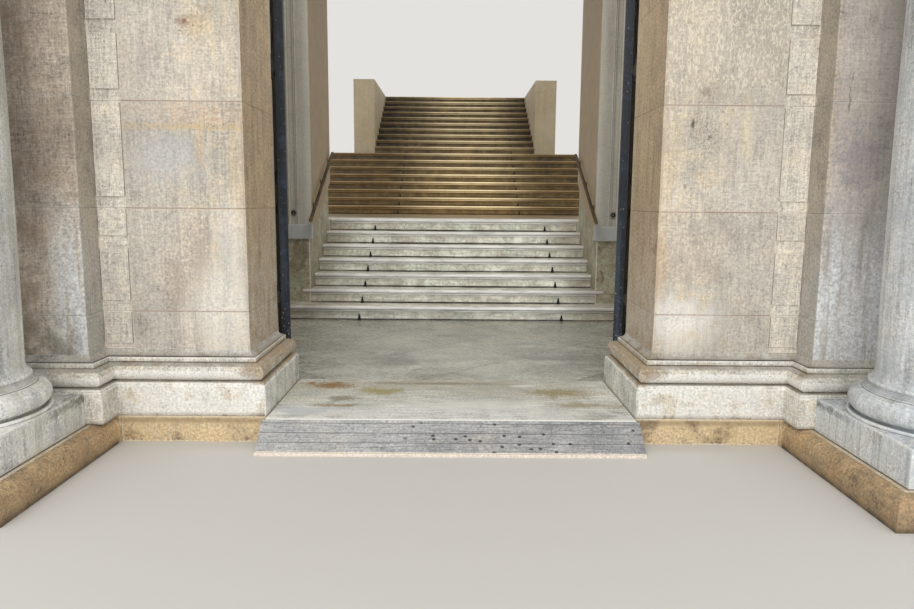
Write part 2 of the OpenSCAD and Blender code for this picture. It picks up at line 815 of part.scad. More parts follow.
// Hinge straps with their barrels round the pins.
module hinge_straps(side) {
    color("dimgray") at_hinge(side) for (z = hinge_z) translate([0, 0, course_h + z - barrel_h / 2]) difference() {
        union() {
            cylinder(r = barrel_r, h = barrel_h);
            block([-strap_l, -pin_gap, barrel_h / 6], [0, -pin_gap + strap_t, barrel_h * 5 / 6]);
        }
        translate([0, 0, -1]) cylinder(r = pin_r + pin_clearance, h = barrel_h + 2);
    }
}

// Post behind a pier with the hinge brackets and pins.
module hinge_post(side) {
    color("black") on_side(side) union() {
        block([post_x0, pier_y1, foot_z], [post_x0 + post_w, post_y1, head_z]);
        for (z = hinge_z, s = [-1, 1]) {
            z0 = course_h + z + s * (barrel_h / 2 + lug_gap + lug_h / 2) - lug_h / 2;
            translate([pin_x, pin_y, z0]) cylinder(r = barrel_r, h = lug_h);
            block([post_x0, post_y1 - 1, z0], [post_x0 + lug_w, pin_y, z0 + lug_h]);
        }
        for (z = hinge_z) translate([pin_x, pin_y, course_h + z - barrel_h / 2 - lug_gap])
            cylinder(r = pin_r, h = barrel_h + 2 * lug_gap);
    }
}

base_course(-1);  // base_course_left
base_course(1);  // base_course_right
threshold_slab();
entrance_ramp();
vestibule_floor();
wall_base(-1);  // wall_base_left
wall_base(1);  // wall_base_right
pier(-1);  // pier_left
pier(1);  // pier_right
panel_strips();
pilaster(-1);  // pilaster_left
pilaster(1);  // pilaster_right
column_base(-1);  // column_base_left
column_base(1);  // column_base_right
column_shaft(-1);  // column_shaft_left
column_shaft(1);  // column_shaft_right
column_capital(-1);  // column_capital_left
column_capital(1);  // column_capital_right
wall_head();
architrave();
frieze();
cornice();
vestibule_wall(-1);  // vestibule_wall_left
vestibule_wall(1);  // vestibule_wall_right
vestibule_ceiling();
inner_wall(-1);  // inner_wall_left
inner_wall(1);  // inner_wall_right
inner_head();
casing(-1);  // casing_left
casing(1);  // casing_right
casing_head();
dado(-1);  // dado_left
dado(1);  // dado_right
step(1);  // step_1
step(2);  // step_2
step(3);  // step_3
step(4);  // step_4
step(5);  // step_5
step(6);  // step_6
stair_core();
landing();
upper_flight();
upper_landing();
stair_wall(-1);  // stair_wall_left
stair_wall(1);  // stair_wall_right
stair_wall_rear();
handrail(-1);  // handrail_left
handrail(1);  // handrail_right
hinge_post(-1);  // hinge_post_left
hinge_post(1);  // hinge_post_right
door_leaf(-1);  // door_leaf_left
door_leaf(1);  // door_leaf_right
hinge_straps(-1);  // hinge_straps_left
hinge_straps(1);  // hinge_straps_right
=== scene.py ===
"""Looks of a stone entrance portal: its stones, mouldings, stair, door leaves, finishes and light.

Metres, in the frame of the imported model: +Z up, +Y into the building, X = 0 on the door's axis.
"""
import math
import random
from functools import cached_property

import bmesh
import bpy
from bpy.props import FloatProperty, FloatVectorProperty, IntProperty, PointerProperty
from mathutils import Matrix, Vector, noise as field


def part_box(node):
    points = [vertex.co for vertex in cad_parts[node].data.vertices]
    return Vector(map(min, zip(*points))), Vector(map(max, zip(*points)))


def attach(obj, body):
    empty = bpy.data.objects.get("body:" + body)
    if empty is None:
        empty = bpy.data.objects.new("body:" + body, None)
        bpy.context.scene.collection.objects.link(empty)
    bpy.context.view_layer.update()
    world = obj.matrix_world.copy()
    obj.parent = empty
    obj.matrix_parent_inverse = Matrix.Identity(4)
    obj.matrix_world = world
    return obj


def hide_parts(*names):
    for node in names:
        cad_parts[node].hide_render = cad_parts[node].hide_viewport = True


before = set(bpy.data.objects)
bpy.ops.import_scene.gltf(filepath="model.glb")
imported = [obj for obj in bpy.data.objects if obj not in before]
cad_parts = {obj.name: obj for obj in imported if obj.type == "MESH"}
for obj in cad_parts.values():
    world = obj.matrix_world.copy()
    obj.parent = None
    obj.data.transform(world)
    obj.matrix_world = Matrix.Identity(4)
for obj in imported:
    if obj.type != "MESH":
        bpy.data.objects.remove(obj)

bl_info = {
    "name": "Stone Entrance Portal",
    "version": (1, 0, 0),
    "blender": (4, 5, 0),
    "location": "View3D > Sidebar > Portal",
    "description": "Dresses a stone entrance portal with its stones, stair, door leaves and finishes",
    "category": "Object",
}


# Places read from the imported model

PIER_LOW, PIER_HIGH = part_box("pier_right")
BASE_LOW, BASE_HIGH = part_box("wall_base_right")
STRIP_LOW, STRIP_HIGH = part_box("panel_strips")
SHAFT_LOW, SHAFT_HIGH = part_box("column_shaft_right")
COLUMN_LOW, COLUMN_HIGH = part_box("column_base_right")
CAPITAL_LOW, CAPITAL_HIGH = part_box("column_capital_right")
SLAB_LOW, SLAB_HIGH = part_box("threshold_slab")
RAMP_LOW, RAMP_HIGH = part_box("entrance_ramp")
BEAM_LOW, BEAM_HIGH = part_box("architrave")
FRIEZE_LOW, FRIEZE_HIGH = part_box("frieze")
CORNICE_LOW, CORNICE_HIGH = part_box("cornice")
FLIGHT_LOW, FLIGHT_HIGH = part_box("upper_flight")
LANDING_LOW, LANDING_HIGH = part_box("landing")
WALL_LOW, WALL_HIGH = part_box("inner_wall_right")
CASING_LOW, CASING_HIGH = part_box("casing_right")
HEAD_LOW, HEAD_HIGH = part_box("casing_head")
DADO_LOW, DADO_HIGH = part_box("dado_right")
RAIL_LOW, RAIL_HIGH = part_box("handrail_right")
STEP_LOW, STEP_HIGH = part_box("step_3")

FLOOR_Z = SLAB_HIGH.z
FOOT_Z = PIER_LOW.z
HEAD_Z = PIER_HIGH.z
HALF_OPEN = PIER_LOW.x
HALF_W = PIER_HIGH.x
FRONT = PIER_LOW.y
REAR = PIER_HIGH.y
BASE_OUT = HALF_OPEN - BASE_LOW.x
PILASTER_X0 = STRIP_HIGH.x
PILASTER_X1 = HALF_W - BASE_OUT
PILASTER_FRONT = BASE_LOW.y + BASE_OUT
COLUMN_X = (SHAFT_LOW.x + SHAFT_HIGH.x) / 2
COLUMN_Y = (SHAFT_LOW.y + SHAFT_HIGH.y) / 2
PLINTH_HALF = COLUMN_HIGH.x - COLUMN_X
DADO_X = DADO_LOW.x
SIDES = {"left": -1, "right": 1}
PILASTER_PATH = [
    (PILASTER_X0, FRONT), (PILASTER_X0, PILASTER_FRONT), (PILASTER_X1, PILASTER_FRONT), (PILASTER_X1, FRONT),
]

# Distances that several pieces share

CORE_BACK = 0.058  # from a moulding's face to the core behind it
SHARP = 0.001  # arris of a hidden core


def paint(code):
    """A colour of six hexadecimal digits as a screen shows it, in the renderer's own units."""
    screen = [int(code[i:i + 2], 16) / 255 for i in (0, 2, 4)]
    linear = [c / 12.92 if c <= 0.04045 else ((c + 0.055) / 1.055) ** 2.4 for c in screen]
    return (*linear, 1.0)


def length(name, default, description):
    """A property that holds a length in metres."""
    return FloatProperty(name=name, description=description, default=default, min=0.0, unit="LENGTH",
                         subtype="DISTANCE", precision=4)


def coordinate(name, default, description):
    """A property that holds a coordinate in metres."""
    return FloatProperty(name=name, description=description, default=default, unit="LENGTH")


def rotation(name, degrees, description):
    """A property that holds an angle."""
    return FloatProperty(name=name, description=description, default=math.radians(degrees), unit="ROTATION",
                         subtype="ANGLE")


def amount(name, default, description, least=0.0):
    """A property that holds a plain number."""
    return FloatProperty(name=name, description=description, default=default, min=least)


def risers(name, default, description):
    """A property that holds a number of risers."""
    return IntProperty(name=name, description=description, default=default, min=2)


def colour(name, code, description):
    """A property that holds a colour."""
    return FloatVectorProperty(name=name, description=description, default=paint(code), size=4, min=0.0,
                               max=1.0, subtype="COLOR")


class PORTAL_PG_wall(bpy.types.PropertyGroup):
    """Sizes of the stones, mouldings and panels."""
    stone_h: length("Stone height", 0.67, "Height of a course of stones")
    joint: length("Joint", 0.0014, "Width of a joint between stones")
    chamfer: length("Arris", 0.002, "Worn-off width at a stone's edges")
    strip_w: length("Strip width", 0.195, "Width of the strip of tooled panels")
    strip_t: length("Strip thickness", 0.03, "Thickness of the strip's stone")
    panel_rise: length("Panel rise", 0.012, "How far a panel stands proud of the strip")
    panel_gap: length("Panel band", 0.085, "Plain band between two panels")
    band_drop: length("Band drop", 0.012, "How far a band reaches below its joint")
    short_panel: length("Short panel", 0.165, "Height of the short panel under every second joint")
    panel_side: length("Panel margin", 0.008, "Margin beside the panels")
    plinth_h: length("Plinth height", 0.203, "Height of the plinth")
    ledge_h: length("Ledge height", 0.019, "Height of the sunk ledge on the plinth")
    ledge_out: length("Ledge projection", 0.112, "Projection of the ledge")
    torus_h: length("Torus height", 0.116, "Height of the round moulding")
    torus_out: length("Torus projection", 0.110, "Projection of the round moulding")
    fillet_h: length("Fillet height", 0.034, "Height of the fillet")
    fillet_out: length("Fillet projection", 0.047, "Projection of the fillet")
    groove_h: length("Groove height", 0.006, "Height of the groove over the fillet")
    groove_out: length("Groove projection", 0.024, "Projection of the groove's bottom")
    cove_h: length("Cove height", 0.038, "Height of the cove at the shaft's foot")
    cove_out: length("Cove projection", 0.038, "Projection of the cove")
    course_nose: length("Course nose", 0.12, "Projection of the yellow course beyond the column's plinth")
    limestone: colour("Limestone", "d2cabd", "Main colour of the piers")
    limestone_shade: colour("Limestone shade", "beb7ab", "Darker colour of the piers")
    ochre: colour("Ochre", "d6c19b", "Ochre stain in the limestone")
    marble: colour("Marble", "eeece6", "Main colour of the plinths")
    course_tone: colour("Yellow course", "c6ac84", "Main colour of the yellow course")
    # Colour of specks, pits, joints and hollows: soiling, and painted shade in the hollows.
    dirt_and_shade: colour("Grime", "554737", "Dirt in joints and hollows")


class PORTAL_PG_column(bpy.types.PropertyGroup):
    """Sizes of the columns."""
    foot_r: length("Foot radius", 0.356, "Radius of the shaft at its foot")
    belly_r: length("Belly radius", 0.370, "Largest radius of the shaft")
    neck_r: length("Neck radius", 0.312, "Radius of the shaft under the capital")
    rim_h: length("Rim height", 0.020, "Height of the rim on the plinth")
    torus_h: length("Torus height", 0.134, "Height of the big round moulding")
    torus_out: length("Torus projection", 0.129, "Projection of the big round moulding")
    hollow_h: length("Hollow height", 0.037, "Height of the hollow moulding over the torus")
    hollow_out: length("Hollow projection", 0.060, "Projection at the foot of the hollow moulding")
    ring_h: length("Ring height", 0.022, "Height of the ring under the shaft")
    ring_out: length("Ring projection", 0.034, "Projection of the ring under the shaft")
    flare_h: length("Flare height", 0.070, "Height over which the shaft's foot flares out")
    flare_out: length("Flare projection", 0.022, "Projection of the flare")
    grey: colour("Grey marble", "e8e9e8", "Main colour of the columns")
    grey_shade: colour("Grey marble shade", "c8caca", "Darker colour of the columns")


class PORTAL_PG_stair(bpy.types.PropertyGroup):
    """Sizes of the two flights."""
    riser: length("Riser", 0.165, "Height of a step")
    tread: length("Tread", 0.298, "Depth of a step in the lower flight")
    start: length("Start", 3.895, "Place of the first riser")
    nosing: length("Nosing", 0.040, "Overhang and height of a nosing")
    fillet_h: length("Fillet", 0.024, "Height of the small fillet under a nosing")
    fillet_out: length("Fillet projection", 0.014, "Projection of that fillet")
    dip: length("Wear", 0.006, "How far a tread is worn down in the middle")
    upper_start: length("Upper start", 9.74, "Place of the upper flight's first riser")
    upper_tread: length("Upper tread", 0.300, "Depth of a step in the upper flight")
    wide_half: length("Wide half", 2.75, "Half width of the upper flight's foot")
    narrow_half: length("Narrow half", 1.82, "Half width between the flanking walls")
    eyelet_left: length("Left eyelets", 1.11, "Distance of the left row of eyelets from the axis")
    eyelet_right: length("Right eyelets", 1.29, "Distance of the right row of eyelets from the axis")
    lower_risers: risers("Lower risers", 7, "Risers in the lower flight")
    wide_risers: risers("Wide risers", 8, "Risers in the wide foot")
    narrow_risers: risers("Narrow risers", 10, "Risers in the narrow run")
    marble: colour("Stair marble", "f1f3e8", "Main colour of the lower steps")
    # Tint of the landing and upper flight: painted warm shade of the stair hall.
    upper_tint_and_shade: colour("Upper marble", "8c734a", "Tint of the upper steps")
    dado: colour("Dado marble", "a8a893", "Main colour of the dado")


class PORTAL_PG_door(bpy.types.PropertyGroup):
    """Sizes of the door leaves and the casing."""
    pin_x: length("Pin place", 1.394, "Distance of the hinge pins from the axis")
    pin_y: length("Pin depth", 1.114, "Distance of the hinge pins behind the plinth fronts")
    pin_gap: length("Pin gap", 0.034, "Distance from a pin to the leaf's face")
    leaf_t: length("Leaf thickness", 0.07, "Thickness of a leaf")
    edge: length("Edge gap", 0.01, "Distance from a pin to the leaf's edge")
    meeting: length("Meeting gap", 0.006, "Distance from the axis to a closed leaf's edge")
    stile: length("Stile", 0.17, "Width of stiles and rails")
    sink: length("Panel sinking", 0.014, "Depth of the panels")
    opened: rotation("Open", 105, "How far the leaves stand open")
    slate: colour("Slate blue", "1f2531", "Colour of the leaves")
    casing: colour("Casing paint", "b4b1a8", "Colour of the casing")
    plaster: colour("Plaster", "c2b498", "Colour of the inner walls")


class PORTAL_PG_stage(bpy.types.PropertyGroup):
    """Camera, floor and lamps."""
    camera_x: coordinate("Camera X", 0.0154, "Camera place across")
    camera_y: coordinate("Camera Y", -4.5162, "Camera place along")
    camera_z: coordinate("Camera Z", 1.566, "Camera height")
    tilt: rotation("Tilt", 81.875, "Camera tilt from straight down")
    roll: rotation("Roll", -0.448, "Camera roll")
    turn: rotation("Turn", -0.165, "Camera turn")
    lens: amount("Lens", 28.16, "Focal length in millimetres", 1.0)
    world: amount("World light", 0.92, "Strength of the light from all round")
    key: amount("Key light", 1180.0, "Power of the soft lamp in front, in watts")
    hall: amount("Vestibule light", 70.0, "Power of the soft lamp in the vestibule, in watts")
    floor: colour("Floor", "d4d2ce", "Colour of the studio floor")


GROUPS = {
    "portal_wall": PORTAL_PG_wall,
    "portal_column": PORTAL_PG_column,
    "portal_stair": PORTAL_PG_stair,
    "portal_door": PORTAL_PG_door,
    "portal_stage": PORTAL_PG_stage,
}


# Shader nodes

class Value:
    """What comes out of a node, to reckon with: each sign makes a math node."""

    def __init__(self, sheet, socket):
        self.sheet = sheet
        self.socket = socket

    def __add__(self, other):
        return self.sheet.calc("ADD", self, other)

    def __sub__(self, other):
        return self.sheet.calc("SUBTRACT", self, other)

    def __rsub__(self, other):
        return self.sheet.calc("SUBTRACT", other, self)

    def __mul__(self, other):
        return self.sheet.calc("MULTIPLY", self, other)

    def __truediv__(self, other):
        return self.sheet.calc("DIVIDE", self, other)

    def __abs__(self):
        return self.sheet.calc("ABSOLUTE", self)

    def most(self, other):
        return self.sheet.calc("MAXIMUM", self, other)

    def span(self, low, high, to_low=0.0, to_high=1.0):
        """A smooth ramp from to_low to to_high as the value goes from low to high."""
        return self.sheet.value("ShaderNodeMapRange", {"interpolation_type": "SMOOTHSTEP"}, {
            "Value": self, "From Min": low, "From Max": high, "To Min": to_low, "To Max": to_high,
        })

    def between(self, low, high, soft):
        """A mask that is 1 between two values and fades over a soft width."""
        return self.span(low - soft, low + soft) * self.span(high - soft, high + soft, 1.0, 0.0)


class Sheet:
    """A node tree in the making, with its surface and the colour laid on it so far."""

    def __init__(self, tree):
        self.tree = tree

    def put(self, kind, settings=None, inputs=None):
        """Adds a node, with its settings and with values, colour codes or links on its inputs."""
        made = self.tree.nodes.new(kind)
        for name, setting in (settings or {}).items():
            setattr(made, name, setting)
        for key, given in (inputs or {}).items():
            if isinstance(given, Value):
                self.tree.links.new(given.socket, made.inputs[key])
            else:
                made.inputs[key].default_value = paint(given) if isinstance(given, str) else given
        return made

    def value(self, kind, settings=None, inputs=None, output=0):
        """Adds a node and gives one of its outputs."""
        return Value(self, self.put(kind, settings, inputs).outputs[output])

    def given(self, labels):
        """The inputs of a node group."""
        outputs = self.put("NodeGroupInput").outputs
        return {label: Value(self, outputs[label]) for label in labels}

    def calc(self, operation, first, second=0.0):
        """One sum."""
        return self.value("ShaderNodeMath", {"operation": operation}, {0: first, 1: second})

    @cached_property
    def place(self):
        """The place on the object."""
        return self.value("ShaderNodeTexCoord", output="Object")

    @cached_property
    def axes(self):
        """The place on the object, as its three coordinates."""
        parts = self.put("ShaderNodeSeparateXYZ", inputs={0: self.place}).outputs
        return [Value(self, part) for part in parts]

    def attribute(self, name):
        """A value that the mesh carries at each point."""
        return self.value("ShaderNodeAttribute", {"attribute_name": name}, output="Fac")

    def stretched(self, scale, shift=(0.0, 0.0, 0.0), turn=(0.0, 0.0, 0.0)):
        """The place scaled along each axis, so that noise there runs in streaks."""
        return self.value("ShaderNodeMapping", inputs={
            "Vector": self.place, "Scale": scale, "Location": shift, "Rotation": turn,
        })

    def noise(self, scale, detail, roughness, distortion=0.0, place=None):
        """Fractal noise between 0 and 1."""
        return self.value("ShaderNodeTexNoise", inputs={
            "Vector": place or self.place, "Scale": scale, "Detail": detail, "Roughness": roughness,
            "Distortion": distortion,
        })

    def streaks(self, stretch, detail, roughness, distortion=0.0, scale=1.0, **mapping):
        """Fractal noise in streaks."""
        return self.noise(scale, detail, roughness, distortion, self.stretched(stretch, **mapping))

    def cells(self, place, scale=5.0, **settings):
        """Distance from the middle of the nearest cell."""
        return self.value("ShaderNodeTexVoronoi", settings, {"Vector": place, "Scale": scale}, "Distance")

    def mix(self, share, first, second, mode="MIX"):
        """Two colours mixed."""
        return self.value("ShaderNodeMix", {"data_type": "RGBA", "blend_type": mode}, {
            0: share, 6: first, 7: second,
        }, 2)

    def varied(self, color, *terms):
        """A colour made lighter and darker by noises, each with its own strength."""
        total = 1.0
        for noise, strength in terms:
            total = (noise - 0.5) * strength + total
        grey = self.value("ShaderNodeCombineColor", inputs={0: total, 1: total, 2: total})
        return self.mix(1.0, color, grey, "MULTIPLY")

    def lay(self, share, color, *terms):
        """Lays a colour over the one so far, made lighter and darker by noises."""
        self.color = self.mix(share, self.color, self.varied(color, *terms) if terms else color)

    def vary(self, *terms):
        """Makes the colour so far lighter and darker by noises."""
        self.color = self.varied(self.color, *terms)

    def hollow_dirt_and_shade(self, *terms):
        """The soiling and painted shade that the mesh marks in its hollows and under overhangs, broken up by
        noises.
        """
        broken = self.value("ShaderNodeSeparateColor", inputs={0: self.varied("ffffff", *terms)})
        return broken * self.attribute("dirt_and_shade")

    def spot(self, first, second, centre, reach, ragged=2.2):
        """A mask round one place, with a ragged edge that follows the stone's blotches."""
        a = (first - centre[0]) / reach[0]
        b = (second - centre[1]) / reach[1]
        far = self.calc("SQRT", a * a + b * b)
        rough = self.blotch + self.mottle * 0.6
        return (far + (rough - 0.8) * ragged).span(0.25, 1.2, 1.0, 0.0)

    def surface(self, name, fill, usual, own):
        """Lays a surface group, with its usual values and its own ones."""
        own = {label.replace("_", " "): value for label, value in own.items()}
        group = node_group(name, usual, fill)
        outputs = self.put("ShaderNodeGroup", {"node_tree": group}, {**usual, **own}).outputs
        for label in SURFACE:
            setattr(self, label, Value(self, outputs[label]))

    def done(self, depth=0.002, strength=0.6, **plain):
        """Ends the tree in the principled shader, with a bump from the surface's height."""
        bump = self.value("ShaderNodeBump", inputs={
            "Strength": strength, "Distance": depth, "Height": self.height,
        })
        made = self.value("ShaderNodeBsdfPrincipled", inputs={
            "Base Color": self.color, "Roughness": self.roughness, "Normal": bump,
            **{label.replace("_", " "): value for label, value in plain.items()},
        })
        self.put("ShaderNodeOutputMaterial", inputs={0: made})


SURFACE = ("color", "roughness", "height", "blotch", "mottle", "run")


def node_group(name, inputs, fill):
    """A shader node group with named inputs and a surface's outputs, built once."""
    found = bpy.data.node_groups.get(name)
    if found:
        return found
    made = bpy.data.node_groups.new(name, "ShaderNodeTree")
    for label, value in inputs.items():
        kind = "NodeSocketFloat" if isinstance(value, float) else "NodeSocketColor"
        socket = made.interface.new_socket(name=label, in_out="INPUT", socket_type=kind)
        socket.default_value = paint(value) if isinstance(value, str) else value
    for label in SURFACE:
        kind = "NodeSocketColor" if label == "color" else "NodeSocketFloat"
        made.interface.new_socket(name=label, in_out="OUTPUT", socket_type=kind)
    sheet = Sheet(made)
    fill(sheet, sheet.given(inputs))
    sheet.put("NodeGroupOutput", inputs={label: getattr(sheet, label) for label in SURFACE})
    return made


def fill_weathered(s, given):
    """Cut stone: clouds, blotches, runs, tool marks, specks and pits, soiling and painted shade in hollows,
    and pale worn edges that are a painted highlight where the mesh marks nosings.
    """
    cloud = s.noise(given["Cloud Scale"], 3, 0.6)
    blotch = s.noise(given["Blotch Scale"], 5, 0.68, 0.4)
    mottle = s.noise(given["Mottle Scale"], 3, 0.78)
    grain = s.noise(105.0, 1, 0.6)
    run = s.streaks((16.0, 16.0, 0.9), 5, 0.68)
    thread = s.streaks((85.0, 85.0, 7.0), 2, 0.7)
    hatch = s.streaks((9.0, 9.0, 105.0), 3, 0.72)
    holes = s.cells(s.place, given["Pit Scale"])
    pit = holes.span(0.12, 0.25, 1.0, 0.0) * blotch.span(0.50, 0.60) * given["Pits"]

    s.color = s.mix(cloud.span(0.38, 0.62), given["Base"], given["Shade"])
    s.lay(blotch.span(0.49, 0.64) * given["Stains"], given["Stain"])
    s.vary((s.attribute("tone"), 0.20), (blotch, given["Blotches"]), (mottle, given["Mottle"]), (grain, 0.9),
           (run, given["Runs"]), (thread, given["Threads"]), (hatch, given["Hatch"]))
    # Pale where the mesh marks worn edges; on the step nosings this also paints a highlight.
    pale = s.attribute("wear_and_highlight") + mottle * 0.9
    s.lay(pale.span(0.95, 1.5) * given["Worn Edges"], given["Bright"])
    speck = grain.span(0.60, 0.70) * given["Specks"]
    s.lay(speck.most(pit * 0.8), given["Grime"])
    # Dark where the mesh marks hollows and undersides: soiling there, and painted shade.
    s.lay(s.hollow_dirt_and_shade((blotch, 1.3), (mottle, 1.1)).span(0.12, 0.95, 0.0, 0.95), given["Grime"])

    s.height = blotch * 0.8 + mottle * 0.8 + hatch * given["Hatch"] * 0.5 - pit * 1.4
    s.roughness = (blotch + s.attribute("dirt_and_shade") * 0.4).span(0.3, 0.9, 0.62, 0.95)
    s.blotch, s.mottle, s.run = blotch, mottle, run


def fill_veined(s, given):
    """Marble: soft clouds, thin veins and dull scratches, soiling and painted shade in hollows, and pale worn
    edges that are a painted highlight where the mesh marks nosings.
    """
    cloud = s.noise(given["Cloud Scale"], 6, 0.64, 0.8)
    fine = s.noise(24.0, 6, 0.76)
    drift = s.streaks((2.6, 3.4, 1.9), 9, 0.6, 1.6, given["Vein Scale"], shift=(1.0, 2.0, 3.0))
    vein = abs(drift - 0.5).span(0.0, 0.03, 1.0, 0.0)
    s.color = s.mix(cloud.span(0.38, 0.62), given["Base"], given["Shade"])
    s.lay(vein * given["Veins"], given["Vein"])
    s.vary((fine, given["Mottle"]), (drift, given["Drift"]), (s.attribute("tone"), 0.2))
    # Pale where the mesh marks worn edges; on the step nosings this also paints a highlight.
    pale = (s.attribute("wear_and_highlight") + fine * 0.8).span(0.85, 1.4)
    s.lay(pale * given["Worn Edges"], given["Bright"])
    # Dark where the mesh marks hollows and undersides: soiling there, and painted shade.
    s.lay(s.hollow_dirt_and_shade((cloud, 1.4), (fine, 1.6)).span(0.10, 0.90, 0.0, 0.95), given["Grime"])
    s.roughness = (fine + s.attribute("dirt_and_shade")).span(0.35, 0.9, given["Polish"], 0.75)
    s.height = fine * 0.6 + cloud * 0.8
    s.blotch, s.mottle, s.run = cloud, fine, drift


def weathered(s, **own):
    """Lays cut stone, with its own values."""
    wall = bpy.context.scene.portal_wall
    s.surface("weathered_stone", fill_weathered, {
        "Base": tuple(wall.limestone), "Shade": tuple(wall.limestone_shade), "Stain": tuple(wall.ochre),
        "Grime": tuple(wall.dirt_and_shade), "Bright": "f2ece0", "Cloud Scale": 1.3, "Blotch Scale": 6.0,
        "Mottle Scale": 58.0, "Pit Scale": 34.0, "Stains": 0.32, "Blotches": 0.9, "Mottle": 1.3, "Runs": 0.6,
        "Threads": 0.9, "Hatch": 0.7, "Specks": 0.35, "Pits": 0.5, "Worn Edges": 0.3,
    }, own)


def veined(s, **own):
    """Lays marble, with its own values."""
    s.surface("veined_marble", fill_veined, {
        "Base": "d8d4c8", "Shade": "b9b6aa", "Vein": "8c887c", "Grime": "453b2c", "Bright": "faf7ee",
        "Cloud Scale": 1.6, "Vein Scale": 0.9, "Veins": 0.35, "Mottle": 0.9, "Drift": 0.8, "Worn Edges": 0.6,
        "Polish": 0.35,
    }, own)


# Finishes, one for each material slot

PIER_STAINS = (
    # colour, strength, place across and up, reach across and up
    ("c2aa86", 0.60, (-1.60, 2.65), (0.10, 0.11)),
    ("a3897a", 0.70, (-1.68, 2.66), (0.050, 0.035)),
    ("86684a", 0.70, (-1.67, 2.67), (0.014, 0.014)),
    ("86684a", 0.60, (-1.62, 2.64), (0.010, 0.012)),
    ("86684a", 0.55, (-1.70, 2.61), (0.012, 0.010)),
    ("c7c7c5", 0.70, (-1.84, 1.82), (0.34, 0.20)),
    ("dcc296", 0.45, (-1.61, 1.90), (0.035, 0.15)),
    ("b7aba6", 0.45, (-1.95, 2.42), (0.10, 0.16)),
    ("b19c90", 0.50, (-1.64, 1.22), (0.10, 0.30)),
    ("ab9789", 0.45, (-1.80, 1.05), (0.12, 0.22)),
    ("eeeae2", 0.60, (-1.48, 0.90), (0.26, 0.40)),
    ("eeeae2", 0.45, (-1.44, 1.40), (0.12, 0.24)),
    ("c9b090", 0.30, (-1.37, 1.70), (0.06, 0.42)),
    ("dcc4a2", 0.40, (1.37, 1.80), (0.08, 0.40)),
    ("c9a988", 0.50, (1.35, 1.15), (0.06, 0.30)),
    ("b3aba0", 0.50, (1.74, 1.40), (0.26, 0.13)),
    ("bfb0a1", 0.40, (1.60, 1.20), (0.16, 0.20)),
    ("e6dab8", 0.50, (1.86, 2.05), (0.05, 0.24)),
    ("efece6", 0.80, (1.50, 0.80), (0.30, 0.22)),
    ("9a8f80", 0.85, (1.60, 2.27), (0.040, 0.032)),
    ("5d5040", 0.85, (1.52, 2.07), (0.012, 0.030)),
    ("5d5040", 0.75, (1.63, 1.99), (0.014, 0.018)),
    ("5d5040", 0.65, (1.49, 1.68), (0.016, 0.020)),
)

SLAB_STAINS = (
    # colour, strength, place across and along, reach across and along
    ("94703f", 0.95, (-0.94, 0.80), (0.24, 0.12)),
    ("a2965c", 0.85, (-0.55, 0.66), (0.18, 0.13)),
    ("957c52", 0.80, (-0.82, 0.27), (0.18, 0.045)),
    ("8d8572", 0.75, (-0.78, 0.46), (0.12, 0.08)),
    ("8a8065", 0.75, (-0.10, 0.88), (0.60, 0.05)),
    ("9c8c62", 0.85, (0.80, 0.62), (0.30, 0.14)),
    ("a09270", 0.75, (0.95, 0.30), (0.28, 0.07)),
    ("ccd0d6", 0.70, (-0.95, 0.14), (0.30, 0.10)),
    ("f2efe6", 0.80, (0.55, 0.82), (0.10, 0.03)),
    ("eceae4", 0.60, (0.10, 0.30), (0.50, 0.12)),
)


